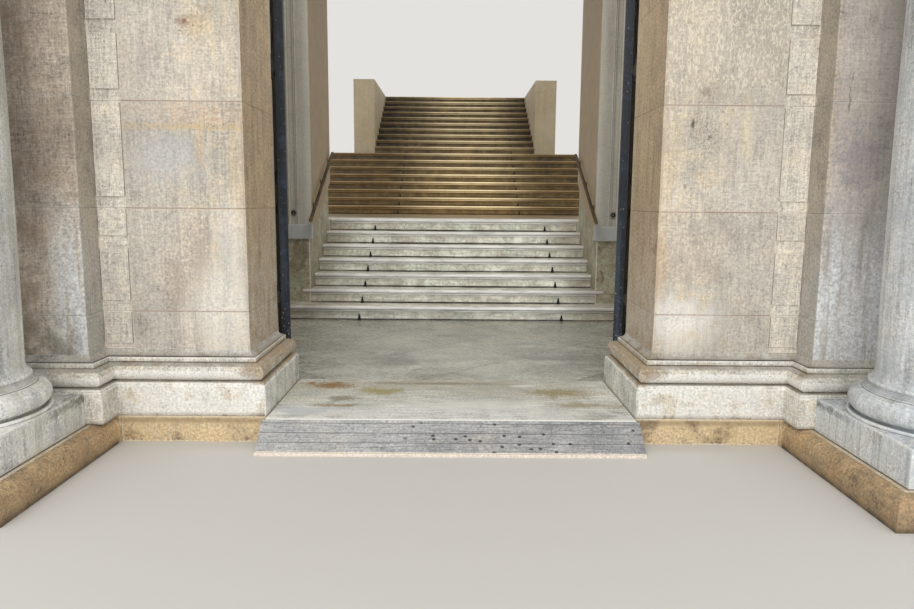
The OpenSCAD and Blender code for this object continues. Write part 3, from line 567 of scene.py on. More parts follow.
def pale_limestone(s):
    """Piers: cream stone, streaked and stained, with pitted places, pinkish joints and tan reveals."""
    weathered(s)
    x, y, z = s.axes
    across = abs(x)
    blotch, mottle, run = s.blotch, s.mottle, s.run
    left = x.span(-0.1, 0.1, 1.0, 0.0)
    right = 1.0 - left
    s.lay(across.span(1.85, 1.45) * run.span(0.40, 0.58) * 0.40, "dccbad", (mottle, 1.5))
    s.lay(across.span(1.55, 1.95) * blotch.span(0.42, 0.56) * 0.45, "c5c0bb", (mottle, 1.8))

    worm = s.streaks((58.0, 58.0, 26.0), 3, 0.55, 1.2, turn=(0.0, 0.6, 0.0))
    above = right * z.span(2.20, 2.32)
    s.lay(above * 0.35, "b9af9f")
    s.lay(worm.span(0.50, 0.60) * above * 0.65, "efe7d2")
    under = z.between(2.04, 2.17, 0.03) * left * across.span(1.95, 1.65, 0.2, 1.0)
    s.lay(under * blotch.span(0.42, 0.60) * 0.5, "dec6ae")
    wave = (z + (blotch - 0.5) * 0.22) * (2 * math.pi / 0.032)
    s.lay(s.calc("SINE", wave).span(0.55, 1.0) * under * 0.45, "b48a70")
    s.lay(z.between(2.005, 2.045, 0.015) * left * mottle.span(0.44, 0.56) * 0.6, "d9b878")
    grain = s.varied("ffffff", (mottle, 1.2), (run, 0.6), (blotch, 0.6))
    for code, strength, centre, reach in PIER_STAINS:
        s.lay(s.spot(x, z, centre, reach) * strength, s.mix(1.0, grain, code, "MULTIPLY"))
    for course in (1, 2, 3):
        joint = FLOOR_Z + bpy.context.scene.portal_wall.stone_h * course
        s.lay(z.between(joint - 0.006, joint + 0.005, 0.003) * mottle.span(0.42, 0.56) * 0.6, "b08a70")

    pitted = s.spot(x, z, (1.60, 2.00), (0.15, 0.20), 1.0) * right
    seam = s.spot(x, z, (-1.55, 2.04), (0.30, 0.03), 1.0) * left
    holes = s.cells(s.stretched((20.0, 20.0, 14.0), (0.3, 0.0, 0.1)))
    s.lay(holes.span(0.20, 0.32, 1.0, 0.0) * pitted.most(seam) * 0.8, "6b5f4e")

    arris = across.between(HALF_OPEN + 0.004, HALF_OPEN + 0.014, 0.004)
    s.lay(arris * mottle.span(0.45, 0.58) * 0.5, "8f7a60")
    tan = s.varied("b9a284", (blotch, 1.2), (mottle, 2.4), (run, 1.1))
    foot = z.span(1.6, 0.75) * blotch.span(0.38, 0.58)
    tan = s.mix(foot * 0.7, tan, s.varied("c9c3b8", (mottle, 2.2)))
    tan = s.mix(y.span(REAR - 0.035, REAR - 0.015, 0.0, 0.6), tan, "b9b4ac")
    s.lay(across.span(HALF_OPEN + 0.001, HALF_OPEN + 0.004, 1.0, 0.0) * 0.85, tan)
    s.done(0.0022, 0.7)


def pilaster_limestone(s):
    """Pilasters and the wall over the door: pinkish stone, darker by the column and on its return faces."""
    weathered(s, Base="d3c7b8", Shade="b3a698", Stain="97846e", Stains=0.45, Hatch=0.9, Mottle=1.6,
              Blotches=1.3, Specks=0.4)
    x, y, z = s.axes
    across = abs(x)
    blotch, mottle = s.blotch, s.mottle
    low = z.span(4.6, 3.8)
    outer = across.span(PILASTER_X0 + 0.10, PILASTER_X0 + 0.55)
    s.lay(outer * low * blotch.span(0.40, 0.60) * 0.75, "85786a")
    s.lay(x.span(PILASTER_X0, PILASTER_X0 + 0.05) * low * 0.4, "b4b4b6", (blotch, 1.2))
    crack = (x + (blotch - 0.5) * 0.10).between(2.395, 2.402, 0.003) * z.between(2.12, 2.36, 0.02)
    s.lay(crack * 0.7, "6e6153")
    s.lay(s.spot(x, z, (2.47, 1.86), (0.16, 0.24)) * 0.5, "8f8791")
    near = across.span(PILASTER_X0 + 0.30, PILASTER_X0 + 0.1).most(x.span(0.0, 0.1, 0.0, 0.8))
    foot = z.span(1.75, 1.05) * near * s.run.span(0.34, 0.52)
    s.lay(foot * 0.85, "dadddf", (mottle, 2.2))
    dark = x.span(-PILASTER_X0, -PILASTER_X0 - 0.1) * z.span(1.0, 0.6)
    s.lay(dark * blotch.span(0.36, 0.52) * 0.6, "6f6a58")
    side = across.span(PILASTER_X0 + 0.006, PILASTER_X0 + 0.002) * z.span(HEAD_Z + 0.1, HEAD_Z - 0.1)
    s.lay(side * y.span(FRONT - 0.001, FRONT - 0.004) * 0.65, "a39c8e", (blotch, 1.4), (mottle, 1.6))
    s.done(0.0018, 0.7)


def tooled_limestone(s):
    """Panels dressed with a bush hammer: cream with dark specks."""
    weathered(s, Base="e6e0d4", Shade="d0cabf", Stains=0.2, Mottle=1.5, Specks=0.55, Pits=0.3,
              Mottle_Scale=48.0, Worn_Edges=0.75)
    s.done(0.004, 0.9)


def yellow_limestone(s):
    """Course that carries the wall: ochre and brown, with a pale top edge."""
    weathered(s, Base=tuple(bpy.context.scene.portal_wall.course_tone), Shade="a18b6e", Stain="b9895f",
              Grime="43382c", Bright="f3ecda", Stains=0.35, Blotches=2.0, Mottle=2.4, Runs=0.0, Threads=0.0,
              Specks=0.5, Pits=0.6, Cloud_Scale=2.6, Worn_Edges=0.8)
    _, y, z = s.axes
    fine = s.mottle
    s.lay(y.span(-0.06, -0.02) * s.blotch.span(0.34, 0.56) * 0.7, "e4cfa8", (fine, 2.0))
    s.lay(y.span(-0.06, -0.20) * s.blotch.span(0.40, 0.58) * 0.45, "a48c6c", (fine, 2.0))
    top = z.between(FLOOR_Z - 0.045, FLOOR_Z - 0.012, 0.014) * fine.span(0.36, 0.56)
    s.lay(top * y.span(-0.03, 0.0) * 0.6, "7d6446")
    s.done(0.004, 0.9)


def white_marble(s):
    """Plinths and mouldings: weathered white stone with brown hollows, ochre runs, a tan reveal side, and
    painted shade towards the pilasters.
    """
    wall = bpy.context.scene.portal_wall
    weathered(s, Base=tuple(wall.marble), Shade="dad6cb", Stain="b7a27e", Grime="4d3f2b", Bright="fbfaf5",
              Stains=0.40, Blotches=1.1, Mottle=1.7, Runs=0.9, Specks=0.5, Pits=0.6, Worn_Edges=0.7)
    x, _, z = s.axes
    across = abs(x)
    blotch, fine = s.blotch, s.mottle
    edge = HALF_OPEN - BASE_OUT
    top = FLOOR_Z + wall.plinth_h
    lower = z.span(top, top + 0.01, 1.0, 0.0)
    tan = across.span(HALF_OPEN, HALF_OPEN - 0.07) * (1.0 - lower) * blotch.span(0.34, 0.52)
    s.lay(tan * 0.75, "ad9a7b", (fine, 2.4))
    front = lower * across.span(edge + 0.01, edge + 0.02) * across.span(PILASTER_X0, 1.9)
    s.lay(front * blotch.span(0.62, 0.50) * 0.75, "f6f4ee", (fine, 1.6), (blotch, 0.8))
    damp = front * z.span(FLOOR_Z + 0.035, FLOOR_Z + 0.004) * fine.span(0.40, 0.56)
    s.lay(damp * 0.7, "8d7a60")
    s.lay(s.spot(across, z, (HALF_OPEN - 0.02, FLOOR_Z + 0.30), (0.10, 0.05)) * 0.6, "8b6d45")
    side = across.span(edge + 0.012, edge + 0.003) * lower
    s.lay(side * 0.75, "dadad5", (s.run, 1.0), (fine, 2.4), (blotch, 2.0))
    # Painted shade: darker grey over the plinths and mouldings towards the pilasters.
    s.lay(across.span(PILASTER_X0 - 0.12, PILASTER_X0 + 0.2) * 0.60, "b5b2a8", (blotch, 2.6), (fine, 2.6))
    s.done(0.002, 0.7)


def threshold_marble(s):
    """Slab under the door: pale marble with ochre and green-grey streaks across and a bright front edge."""
    weathered(s, Base="dfe0d9", Shade="c8c8c0", Stain="bdb79f", Stains=0.4, Runs=0.0, Threads=0.0, Hatch=0.0,
              Mottle=1.6, Specks=0.3, Pits=0.3, Worn_Edges=0.9)
    x, y, _ = s.axes
    streak = s.streaks((2.0, 8.0, 1.0), 8, 0.70, 1.4)
    lines = s.streaks((4.0, 50.0, 1.0), 4, 0.6, 0.3)
    s.vary((lines, 1.4), (streak, 1.0))
    s.lay(streak.span(0.50, 0.64) * 0.60, "a6a597")
    s.lay(y.span(0.50, 0.05) * s.blotch.span(0.40, 0.58) * 0.5, "eaece9")
    s.lay(y.span(0.45, 0.92) * s.blotch.span(0.38, 0.58) * 0.6, "a8a48e")
    for code, strength, centre, reach in SLAB_STAINS:
        s.lay(s.spot(x, y, centre, reach, 3.0) * strength, code)
    s.lay(y.span(SLAB_LOW.y + 0.016, SLAB_LOW.y + 0.010) * 0.9, "fbf9f4")
    s.lay(abs(x).span(SLAB_HIGH.x - 0.012, SLAB_HIGH.x - 0.004) * 0.8, "4f4a3e")
    s.done(0.0016, 0.5)


def grey_marble(s):
    """Columns: honed grey marble with dark drips from the rim down."""
    column = bpy.context.scene.portal_column
    weathered(s, Base=tuple(column.grey), Shade=tuple(column.grey_shade), Stain="a8a398", Grime="3d3a33",
              Bright="f6f5f1", Stains=0.35, Blotches=1.0, Mottle=1.5, Runs=1.6, Threads=0.6, Hatch=0.5,
              Specks=0.3, Pits=0.3, Worn_Edges=0.8)
    x, y, z = s.axes
    top = FLOOR_Z + bpy.context.scene.portal_wall.plinth_h
    drip = s.streaks((34.0, 34.0, 3.0), 6, 0.72)
    s.lay(drip.span(0.52, 0.66) * z.between(top - 0.13, top - 0.015, 0.04) * 0.5, "6b6a61")
    plinth = z.span(top + 0.004, top - 0.004)
    s.lay(plinth * s.run.span(0.40, 0.56) * 0.6, "dfe0dc", (s.blotch, 2.0), (s.mottle, 2.2))
    corner = s.spot(abs(x), z, (COLUMN_X - PLINTH_HALF + 0.03, top - 0.03), (0.10, 0.035), 3.0)
    s.lay(corner * y.span(COLUMN_Y - 0.1, COLUMN_Y + 0.3) * 0.8, "3e3a33")
    for low, high, code in ((0.5, -0.5, "c2c3b4"), (-0.5, 0.5, "aebcc8")):
        s.lay(x.span(low, high) * s.blotch.span(0.36, 0.60) * 0.4, code)
    s.vary((z.span(top + 0.30, top + 0.15, 0.5, 1.0), 0.24))
    s.done(0.0014, 0.5)


def ramp_stone(s):
    """Grooved ramp: blue-grey stone with dark spots and a pale lip."""
    weathered(s, Base="b2b3b3", Shade="999a9c", Stain="b3aca2", Grime="4b4a48", Stains=0.4, Runs=0.0,
              Threads=0.0, Hatch=0.0, Blotches=1.0, Mottle=1.8, Specks=0.4, Pits=0.0)
    x, _, z = s.axes
    s.vary((s.streaks((5.0, 130.0, 130.0), 4, 0.7), 2.0))
    holes = s.cells(s.stretched((9.0, 15.0, 1.0), (0.4, 0.2, 0.0)), 1.0, voronoi_dimensions="2D")
    chosen = x.span(-0.6, 0.5, 0.25, 1.0) * s.blotch.span(0.45, 0.50)
    s.lay(holes.span(0.09, 0.13, 1.0, 0.0) * chosen.span(0.2, 0.5) * 0.9, "3a3733")
    lip = z.span(RAMP_LOW.z + 0.019, RAMP_LOW.z + 0.023, 1.0, 0.0)
    s.lay(lip * 0.9, "f0e3d4", (s.mottle, 1.4))
    s.done(0.0018, 0.7)


def floor_marble(s):
    """Vestibule floor: polished grey-green marble with fine streaks across and slanting joints."""
    veined(s, Base="c2c3b8", Shade="aaaba1", Vein="d6d4c6", Veins=0.2, Mottle=0.5, Drift=0.9, Polish=0.17)
    x, y, _ = s.axes
    streak = s.streaks((0.9, 5.0, 1.0), 5, 0.52, 0.6)
    s.vary((streak, 1.2))
    s.lay(y.span(1.6, 3.4) * streak.span(0.46, 0.60) * 0.35, "8c7c66")
    slab = 0.62
    for slant in (y + x, y - x):
        s.lay(s.calc("PINGPONG", slant, slab).span(0.005, 0.020, 0.5, 0.0), "5f6159")
    s.done(0.0004, 0.25)


def stair_marble(s):
    """Steps: cream-grey marble, browner towards the dado; from the landing up, a golden-brown tint of painted
    warm shade, darker further up, with painted highlights down the middle and on the nosings.
    """
    stair = bpy.context.scene.portal_stair
    veined(s, Base=tuple(stair.marble), Shade="dcd9cd", Vein="a39d8a", Veins=0.3, Mottle=1.5, Drift=1.2,
           Polish=0.34, Grime="241c10", Bright="ffffff", Cloud_Scale=3.0, Worn_Edges=1.0)
    x, y, _ = s.axes
    plain = s.color
    smear = s.streaks((3.0, 9.0, 22.0), 7, 0.7, 0.6)
    s.vary((smear, 1.8))
    s.lay(abs(x).span(1.15, 1.72) * smear.span(0.36, 0.54) * 0.55, "7b6d52")
    # Nosings of the upper flight: worn edges and a painted highlight, pale golden in the middle.
    edge = s.attribute("wear_and_highlight").span(0.2, 0.9) * y.span(9.5, 9.6)
    # Painted highlight down the middle of the upper flight, painted shade towards its sides.
    middle = x.span(-1.6, 0.1) * x.span(2.0, 0.6)
    brown = tuple(stair.upper_tint_and_shade)
    golden = s.mix(edge, brown, s.mix(middle, brown, "dccba2"))
    golden = s.mix(1.0, plain, golden, "MULTIPLY")
    # Painted shade deepening up the upper flight, lifted again on the upper landing.
    fall = y.span(9.7, 13.5, 0.86, 0.12)
    lift = y.span(14.9, 15.1, 0.5, 1.2)
    golden = s.varied(golden, (smear, 1.0), (s.run, 1.0), (middle, 0.5), (fall, 0.8), (edge, 0.5),
                      (lift, 0.8))
    # The golden tint over the landing and the upper flight is painted warm shade.
    s.lay(y.span(5.85, 6.6), golden)
    s.done(0.0012, 0.5)


def dado_marble(s):
    """Dado beside the flight: polished, mottled green-grey and brown marble."""
    veined(s, Base=tuple(bpy.context.scene.portal_stair.dado), Shade="988d76", Vein="c9c6b2", Veins=0.45,
           Mottle=2.0, Drift=1.6, Polish=0.30, Cloud_Scale=4.5, Vein_Scale=2.6)
    s.done(0.0008, 0.4)


def plaster(s):
    """Painted plaster of the inner walls."""
    weathered(s, Base=tuple(bpy.context.scene.portal_door.plaster), Shade="b8a98c", Stain="a08d6c",
              Stains=0.2, Blotches=0.5, Mottle=0.3, Runs=0.4, Threads=0.0, Hatch=0.0, Specks=0.05, Pits=0.0)
    s.done(0.0012, 0.4)


def masonry(s):
    """Rubble masonry under the lower flight."""
    weathered(s, Base="a99c88", Shade="857a69", Stains=0.5, Mottle=1.6, Pits=1.0)
    s.done(0.006, 0.9)


def casing_paint(s):
    """Casing: off-white paint on the face, pinkish cream on the reveals."""
    weathered(s, Base=tuple(bpy.context.scene.portal_door.casing), Shade="aba79e", Stain="b3a895",
              Stains=0.25, Blotches=0.5, Mottle=0.25, Runs=0.5, Threads=0.15, Hatch=0.0, Specks=0.05,
              Pits=0.0)
    _, y, z = s.axes
    s.lay(z.span(CASING_LOW.z + 0.165, CASING_LOW.z + 0.175, 1.0, 0.0) * 0.5, "b4bcc4")
    s.lay(y.span(WALL_LOW.y - 0.004, WALL_LOW.y + 0.004) * 0.9, "a8957a", (s.blotch, 0.8))
    s.done(0.0006, 0.35)


def door_paint(s):
    """Door leaves: slate blue gloss paint, scuffed and chipped towards the foot."""
    weathered(s, Base=tuple(bpy.context.scene.portal_door.slate), Shade="181d26", Stain="414c5c",
              Grime="101114", Bright="4a5361", Stains=0.5, Blotches=1.2, Mottle=1.2, Runs=1.2, Threads=0.6,
              Hatch=0.0, Specks=0.1, Pits=0.0, Worn_Edges=0.3)
    z = s.axes[2]
    s.lay(z.span(FLOOR_Z + 2.2, FLOOR_Z + 0.6) * s.run.span(0.44, 0.60) * 0.4, "536276")
    chips = s.noise(46.0, 5, 0.74) + z.span(FLOOR_Z + 0.1, FLOOR_Z + 1.2, 0.06, 0.0)
    s.lay(chips.span(0.655, 0.68), "c3c4c0")
    s.done(0.0008, 0.4, Coat_Weight=0.12, Coat_Roughness=0.3)


def black_iron(s):
    """Hinge posts, knob rings and eyelets: black paint, dusty in places. On the hinge posts, which fill the
    gap between pier and leaf, the near-black also paints the shade in that gap.
    """
    weathered(s, Base="17181a", Shade="0e0f10", Stain="3a3834", Grime="060606", Stains=0.2, Runs=0.2,
              Hatch=0.0, Specks=0.0, Pits=0.0)
    s.done(0.0006, 0.4)


def hinge_steel(s):
    """Hinge straps and barrels: dark steel with old paint."""
    weathered(s, Base="4a4740", Shade="34322e", Stain="6b4a31", Stains=0.4, Pits=0.3, Hatch=0.0)
    s.done(0.0008, 0.5, Metallic=0.3)


def bronze(s):
    """Handrails: dark bronze, rubbed bright at the tube's ends and on the brackets' arrises."""
    weathered(s, Base="5f4f3b", Shade="463828", Stain="8a7350", Grime="1c1610", Bright="b39a70", Stains=0.35,
              Runs=0.0, Hatch=0.0, Specks=0.0, Pits=0.0)
    s.done(0.0003, 0.3, Metallic=0.6)


FINISHES = {
    make.__name__: make for make in (
        pale_limestone, pilaster_limestone, tooled_limestone, yellow_limestone, white_marble,
        threshold_marble, grey_marble, ramp_stone, floor_marble, stair_marble, dado_marble, plaster, masonry,
        casing_paint, door_paint, black_iron, hinge_steel, bronze)
}


def finish(name):
    """The material for that finish, built when it is first asked for.

    Its own name has an ending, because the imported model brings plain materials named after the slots."""
    label = f"{name}_finish"
    found = bpy.data.materials.get(label)
    if found:
        return found
    made = bpy.data.materials.new(label)
    made.use_nodes = True
    made.node_tree.nodes.clear()
    FINISHES[name](Sheet(made.node_tree))
    return made


def dress(node, name):
    """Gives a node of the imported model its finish."""
    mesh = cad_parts[node].data
    mesh.materials.clear()
    mesh.materials.append(finish(name))


# Making meshes

class Part:
    """One piece in the making: its mesh, with how much soiling and painted shade, how much worn edge and
    painted highlight, and how light a tone each point carries.
    """

    def __init__(self, side=1, seed=0):
        self.mesh = bmesh.new()
        layers = self.mesh.verts.layers.float
        self.layer = {name: layers.new(name) for name in ("dirt_and_shade", "wear_and_highlight", "tone")}
        self.side = side
        self.random = random.Random(seed)

    def mark(self, verts, dirt_and_shade=0.0, wear_and_highlight=0.0, tone=0.5):
        for vert in verts:
            vert[self.layer["dirt_and_shade"]] = dirt_and_shade
            vert[self.layer["wear_and_highlight"]] = wear_and_highlight
            vert[self.layer["tone"]] = tone

    def box(self, low, high, chamfer=0.003, margin=0.02, tone=None, dirt_and_shade=0.12):
        """A stone: its edges are worn off, and its faces have a margin of their own."""
        tone = self.random.random() if tone is None else tone
        low, high = Vector(low), Vector(high)
        size = high - low
        place = Matrix.Translation((low + high) / 2) @ Matrix.Diagonal((*size, 1.0))
        cube = bmesh.ops.create_cube(self.mesh, size=1.0, matrix=place)["verts"]
        edges = list({edge for vert in cube for edge in vert.link_edges})
        chamfer = min(chamfer, min(size) * 0.3)
        made = bmesh.ops.bevel(self.mesh, geom=edges, offset=chamfer, segments=2, profile=0.7, affect="EDGES")
        verts = {vert for face in made["faces"] for vert in face.verts}
        self.mark(verts, dirt_and_shade, 1.0, tone)
        flat = {face for vert in verts for face in vert.link_faces} - set(made["faces"])
        for face in flat:
            spans = sorted(edge.calc_length() for edge in face.edges)
            thick = min(margin, spans[0] * 0.3)
            if thick < 0.002:
                continue
            bmesh.ops.inset_individual(self.mesh, faces=[face], thickness=thick, use_even_offset=True)
            self.mark(face.verts, 0.0, 0.0, tone)
        return self

    def vert(self, point, dirt_and_shade, wear_and_highlight, tone):
        made = self.mesh.verts.new(point)
        self.mark([made], dirt_and_shade, wear_and_highlight, tone)
        return made

    def band(self, first, second):
        """Joins two rings of points by faces."""
        for i in range(len(first)):
            j = (i + 1) % len(first)
            self.mesh.faces.new((first[i], first[j], second[j], second[i]))

    def strip(self, rows):
        """Joins rows of (point, soiling-and-shade, worn-edge-and-highlight, tone) into a skin with its ends
        capped.
        """
        made = [[self.vert(*spot) for spot in row] for row in rows]
        for first, second in zip(made, made[1:]):
            self.band(first, second)
        self.mesh.faces.new(made[0])
        self.mesh.faces.new(made[-1])
        return self

    def sweep(self, path, profile, place=lambda a, b, c: (a, b, c), tone=0.5, step=0.4):
        """Runs a closed profile of (out, height, soiling-and-shade, worn-edge-and-highlight) along a path,
        with mitred corners.

        Out is to the right of the path's direction. Long straights are divided, so that marks can vary."""
        turns = [Vector(point) for point in path]
        ways = [(b - a).normalized() for a, b in zip(turns, turns[1:])]
        rights = [Vector((way.y, -way.x)) for way in ways]
        stations = []
        for i, turn in enumerate(turns):
            before = rights[max(i - 1, 0)]
            after = rights[min(i, len(rights) - 1)]
            mitre = (before + after) / (1 + before.dot(after))
            stations.append((turn, mitre))
        rows = []
        for (here, out_here), (there, out_there) in zip(stations, stations[1:]):
            count = max(1, round((there - here).length / step))
            for i in range(count):
                share = i / count
                rows.append((here.lerp(there, share), out_here.lerp(out_there, share)))
        rows.append(stations[-1])
        made = []
        for base, mitre in rows:
            row = []
            for out, height, dirt_and_shade, wear_and_highlight in profile:
                spot = base + mitre * out
                row.append((place(spot.x, spot.y, height), dirt_and_shade, wear_and_highlight, tone))
            made.append(row)
        return self.strip(made)

    def lathe(self, profile, centre=(0.0, 0.0, 0.0), segments=96, tone=0.5):
        """Turns a profile of (radius, height, soiling-and-shade, worn-edge-and-highlight), from axis to axis,
        about an upright axis.
        """
        centre = Vector(centre)
        rings = []
        for radius, height, dirt_and_shade, wear_and_highlight in profile[1:-1]:
            ring = []
            for i in range(segments):
                angle = 2 * math.pi * i / segments
                point = centre + Vector((radius * math.cos(angle), radius * math.sin(angle), height))
                ring.append(self.vert(point, dirt_and_shade, wear_and_highlight, tone))
            rings.append(ring)
        for first, second in zip(rings, rings[1:]):
            self.band(first, second)
        for ring, (_, height, dirt_and_shade, wear_and_highlight) in ((rings[0], profile[0]), (rings[-1], profile[-1])):
            pole = self.vert(centre + Vector((0.0, 0.0, height)), dirt_and_shade, wear_and_highlight, tone)
            for i in range(segments):
                self.mesh.faces.new((pole, ring[i], ring[(i + 1) % segments]))
        return self

    def prism(self, x0, x1, outline, tone=0.5, step=None, shape=None):
        """Extrudes an outline of (y, height, soiling-and-shade, worn-edge-and-highlight) along X; shape may
        move each point.
        """
        count = 1 if step is None else max(1, round((x1 - x0) / step))
        rows = []
        for i in range(count + 1):
            x = x0 + (x1 - x0) * i / count
            row = []
            for y, height, dirt_and_shade, wear_and_highlight in outline:
                point = Vector((x, y, height))
                row.append((shape(point) if shape else point, dirt_and_shade, wear_and_highlight, tone))
            rows.append(row)
        return self.strip(rows)

    def move(self, matrix):
        bmesh.ops.transform(self.mesh, matrix=matrix, verts=self.mesh.verts)
        return self

    def done(self, name, finish_name, replaces=(), body="portal", sharp=32.0):
        """Turns the piece into an object that rides on its body and stands for its nodes."""
        if self.side < 0:
            for vert in self.mesh.verts:
                vert.co.x = -vert.co.x
        bmesh.ops.remove_doubles(self.mesh, verts=self.mesh.verts, dist=1e-6)
        bmesh.ops.recalc_face_normals(self.mesh, faces=self.mesh.faces)
        mesh = bpy.data.meshes.new(name)
        self.mesh.to_mesh(mesh)
        self.mesh.free()
        mesh.shade_smooth()
        mesh.set_sharp_from_angle(angle=math.radians(sharp))
        mesh.materials.append(finish(finish_name))
        made = bpy.data.objects.new(name, mesh)
        bpy.context.scene.collection.objects.link(made)
        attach(made, body)
        if replaces:
            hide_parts(*replaces)
        return made


def upright(along, depth, height):
    """Stands a sweep upright, so that its path runs in the plane of a wall."""
    return (along, height, depth)


def angles(first, last, count):
    """Even steps from one angle to another, from degrees into radians."""
    return [math.radians(first + (last - first) * i / count) for i in range(count + 1)]


def arc(centre, radius, first, last, count, dirt_and_shade=0.0, wear_and_highlight=0.3):
    """Points of a profile on an arc, with its angles in degrees."""
    return [(centre[0] + radius * math.cos(angle), centre[1] + radius * math.sin(angle), dirt_and_shade, wear_and_highlight)
            for angle in angles(first, last, count)]


def joint_heights(foot, head):
    """Heights of the joints between courses, from the foot to the head."""
    stone_h = bpy.context.scene.portal_wall.stone_h
    made = [foot]
    height = FLOOR_Z
    while height < head - 0.1:
        if height > foot + 0.1:
            made.append(height)
        height += stone_h
    return made + [head]


def courses(part, low, high, heights=None):
    """A wall of stones, one high in each course, round a core that closes the joints."""
    wall = bpy.context.scene.portal_wall
    core = 0.012
    low, high = Vector(low), Vector(high)
    heights = heights or joint_heights(low.z, high.z)
    half = wall.joint / 2
    for foot, head in zip(heights, heights[1:]):
        bottom = foot if foot == low.z else foot + half
        top = head if head == high.z else head - half
        part.box((low.x, low.y, bottom), (high.x, high.y, top), wall.chamfer)
    inner = Vector((core, core, core))
    part.box(low + inner, high - inner, SHARP, tone=0.3, dirt_and_shade=0.9)


# Operators, one for each group of pieces

class Maker:
    """What the operators share: they run at once and can be undone."""
    bl_options = {"REGISTER", "UNDO"}

    def execute(self, context):
        self.make(context.scene)
        return {"FINISHED"}


class PORTAL_OT_piers(Maker, bpy.types.Operator):
    """Lays the stones of the two piers"""
    bl_idname = "portal.piers"
    bl_label = "Piers"

    def make(self, scene):
        wall = scene.portal_wall
        strip_x0 = PILASTER_X0 - wall.strip_w
        for word, side in SIDES.items():
            part = Part(side, 10 + side)
            courses(part, (HALF_OPEN, FRONT, FOOT_Z), (strip_x0, REAR, HEAD_Z))
            courses(part, (strip_x0, FRONT + wall.strip_t, FOOT_Z), (PILASTER_X0, REAR, HEAD_Z))
            courses(part, (PILASTER_X0, FRONT, FOOT_Z), (HALF_W, REAR, HEAD_Z))
            part.done(f"pier_stones_{word}", "pale_limestone", [f"pier_{word}"])


def panel_spans(wall):
    """Heights where each tooled panel starts and ends."""
    made = []
    count = math.ceil((HEAD_Z - FLOOR_Z) / wall.stone_h)
    for k in range(count):
        joint = FLOOR_Z + k * wall.stone_h
        following = min(joint + wall.stone_h, HEAD_Z)
        foot = max(joint - wall.band_drop + wall.panel_gap, FOOT_Z + wall.panel_gap / 2)
        head = following - wall.band_drop
        split = head - wall.short_panel
        if k % 2 == 1 and following < HEAD_Z:
            made += [(foot, split - wall.panel_gap), (split, head)]
        else:
            made.append((foot, head))
    return [spot for spot in made if spot[1] - spot[0] > wall.panel_gap]


class PORTAL_OT_panel_strips(Maker, bpy.types.Operator):
    """Cuts the strips of tooled panels at the piers' outer edges"""
    bl_idname = "portal.panel_strips"
    bl_label = "Panel Strips"

    def make(self, scene):
        wall = scene.portal_wall
        face = FRONT + wall.panel_rise
        heights = joint_heights(FOOT_Z, HEAD_Z)
        half = wall.joint / 2
        part = Part()
        for side in SIDES.values():
            x0, x1 = sorted((side * (PILASTER_X0 - wall.strip_w), side * PILASTER_X0))
            for foot, head in zip(heights, heights[1:]):
                part.box((x0, face, foot + half), (x1, FRONT + wall.strip_t, head - half), 0.002)
            for foot, head in panel_spans(wall):
                self.panel(part, x0 + wall.panel_side, x1 - wall.panel_side, foot, head, face)
        part.done("panel_strips_tooled", "tooled_limestone", ["panel_strips"])

    @staticmethod
    def panel(part, x0, x1, z0, z1, face):
        """One panel, with a hammered face and a plain edge."""
        cell = 0.011
        marks = 70
        shallow, deep = 0.0004, 0.0022
        back = face + 0.004
        across = max(4, round((x1 - x0) / cell))
        up = max(4, round((z1 - z0) / cell))
        tone = part.random.random()
        rows = []
        for j in range(up + 1):
            z = z0 + (z1 - z0) * j / up
            row = [((x0, back, z), 0.8, 0.0, tone)]
            for i in range(across + 1):
                x = x0 + (x1 - x0) * i / across
                rim = min(i, across - i, j, up - j) == 0
                rough = 0.5 + 0.5 * field.noise(Vector((x * marks, 3.1, z * marks)))
                sunk = 0.0 if rim else shallow + deep * rough
                row.append(((x, FRONT + sunk, z), 0.1 if rim else 0.0, 1.0 if rim else 0.0, tone))
            row.append(((x1, back, z), 0.8, 0.0, tone))
            rows.append(row)
        part.strip(rows)


class PORTAL_OT_pilasters(Maker, bpy.types.Operator):
    """Lays the stones of the pilasters and their capitals"""
    bl_idname = "portal.pilasters"
    bl_label = "Pilasters"

    def make(self, scene):
        collar = CAPITAL_LOW.z
        head = CAPITAL_HIGH.z
        top = collar + 0.15
        low = (PILASTER_X0, PILASTER_FRONT, FOOT_Z)
        high = (PILASTER_X1, FRONT - 0.0005, top)
        for word, side in SIDES.items():
            part = Part(side, 20 + side)
            courses(part, low, high, joint_heights(FOOT_Z, top))
            part.sweep(PILASTER_PATH, capital_profile(collar, head), tone=0.6)
            part.done(f"pilaster_stones_{word}", "pilaster_limestone", [f"pilaster_{word}"])


def capital_profile(collar, head):
    """Profile of the capitals, from the collar to the top plate, as (out, height, soiling-and-shade,
    worn-edge-and-highlight).
    """
    inside = -0.05
    neck = collar + 0.150
    bowl = neck + 0.076
    return [
        (inside, collar, 0.4, 0.0), (0.004, collar, 0.5, 0.0), *arc((0.0, collar + 0.020), 0.018, -70, 70, 6),
        (0.004, collar + 0.040, 0.6, 0.0), (0.001, collar + 0.044, 0.1, 0.0), (0.001, neck - 0.012, 0.0, 0.0),
        (0.010, neck - 0.010, 0.1, 1.0), (0.010, neck, 0.5, 0.3),
        *arc((0.008, bowl - 0.034), 0.034, -80, 62, 9), (0.030, bowl, 0.6, 0.2),
        (0.058, bowl + 0.002, 0.2, 0.8), (0.062, bowl + 0.006, 0.0, 1.0), (0.062, head - 0.030, 0.0, 0.4),
        (0.050, head - 0.026, 0.4, 0.3), (0.050, head, 0.1, 0.8), (inside, head, 0.2, 0.0),
    ]


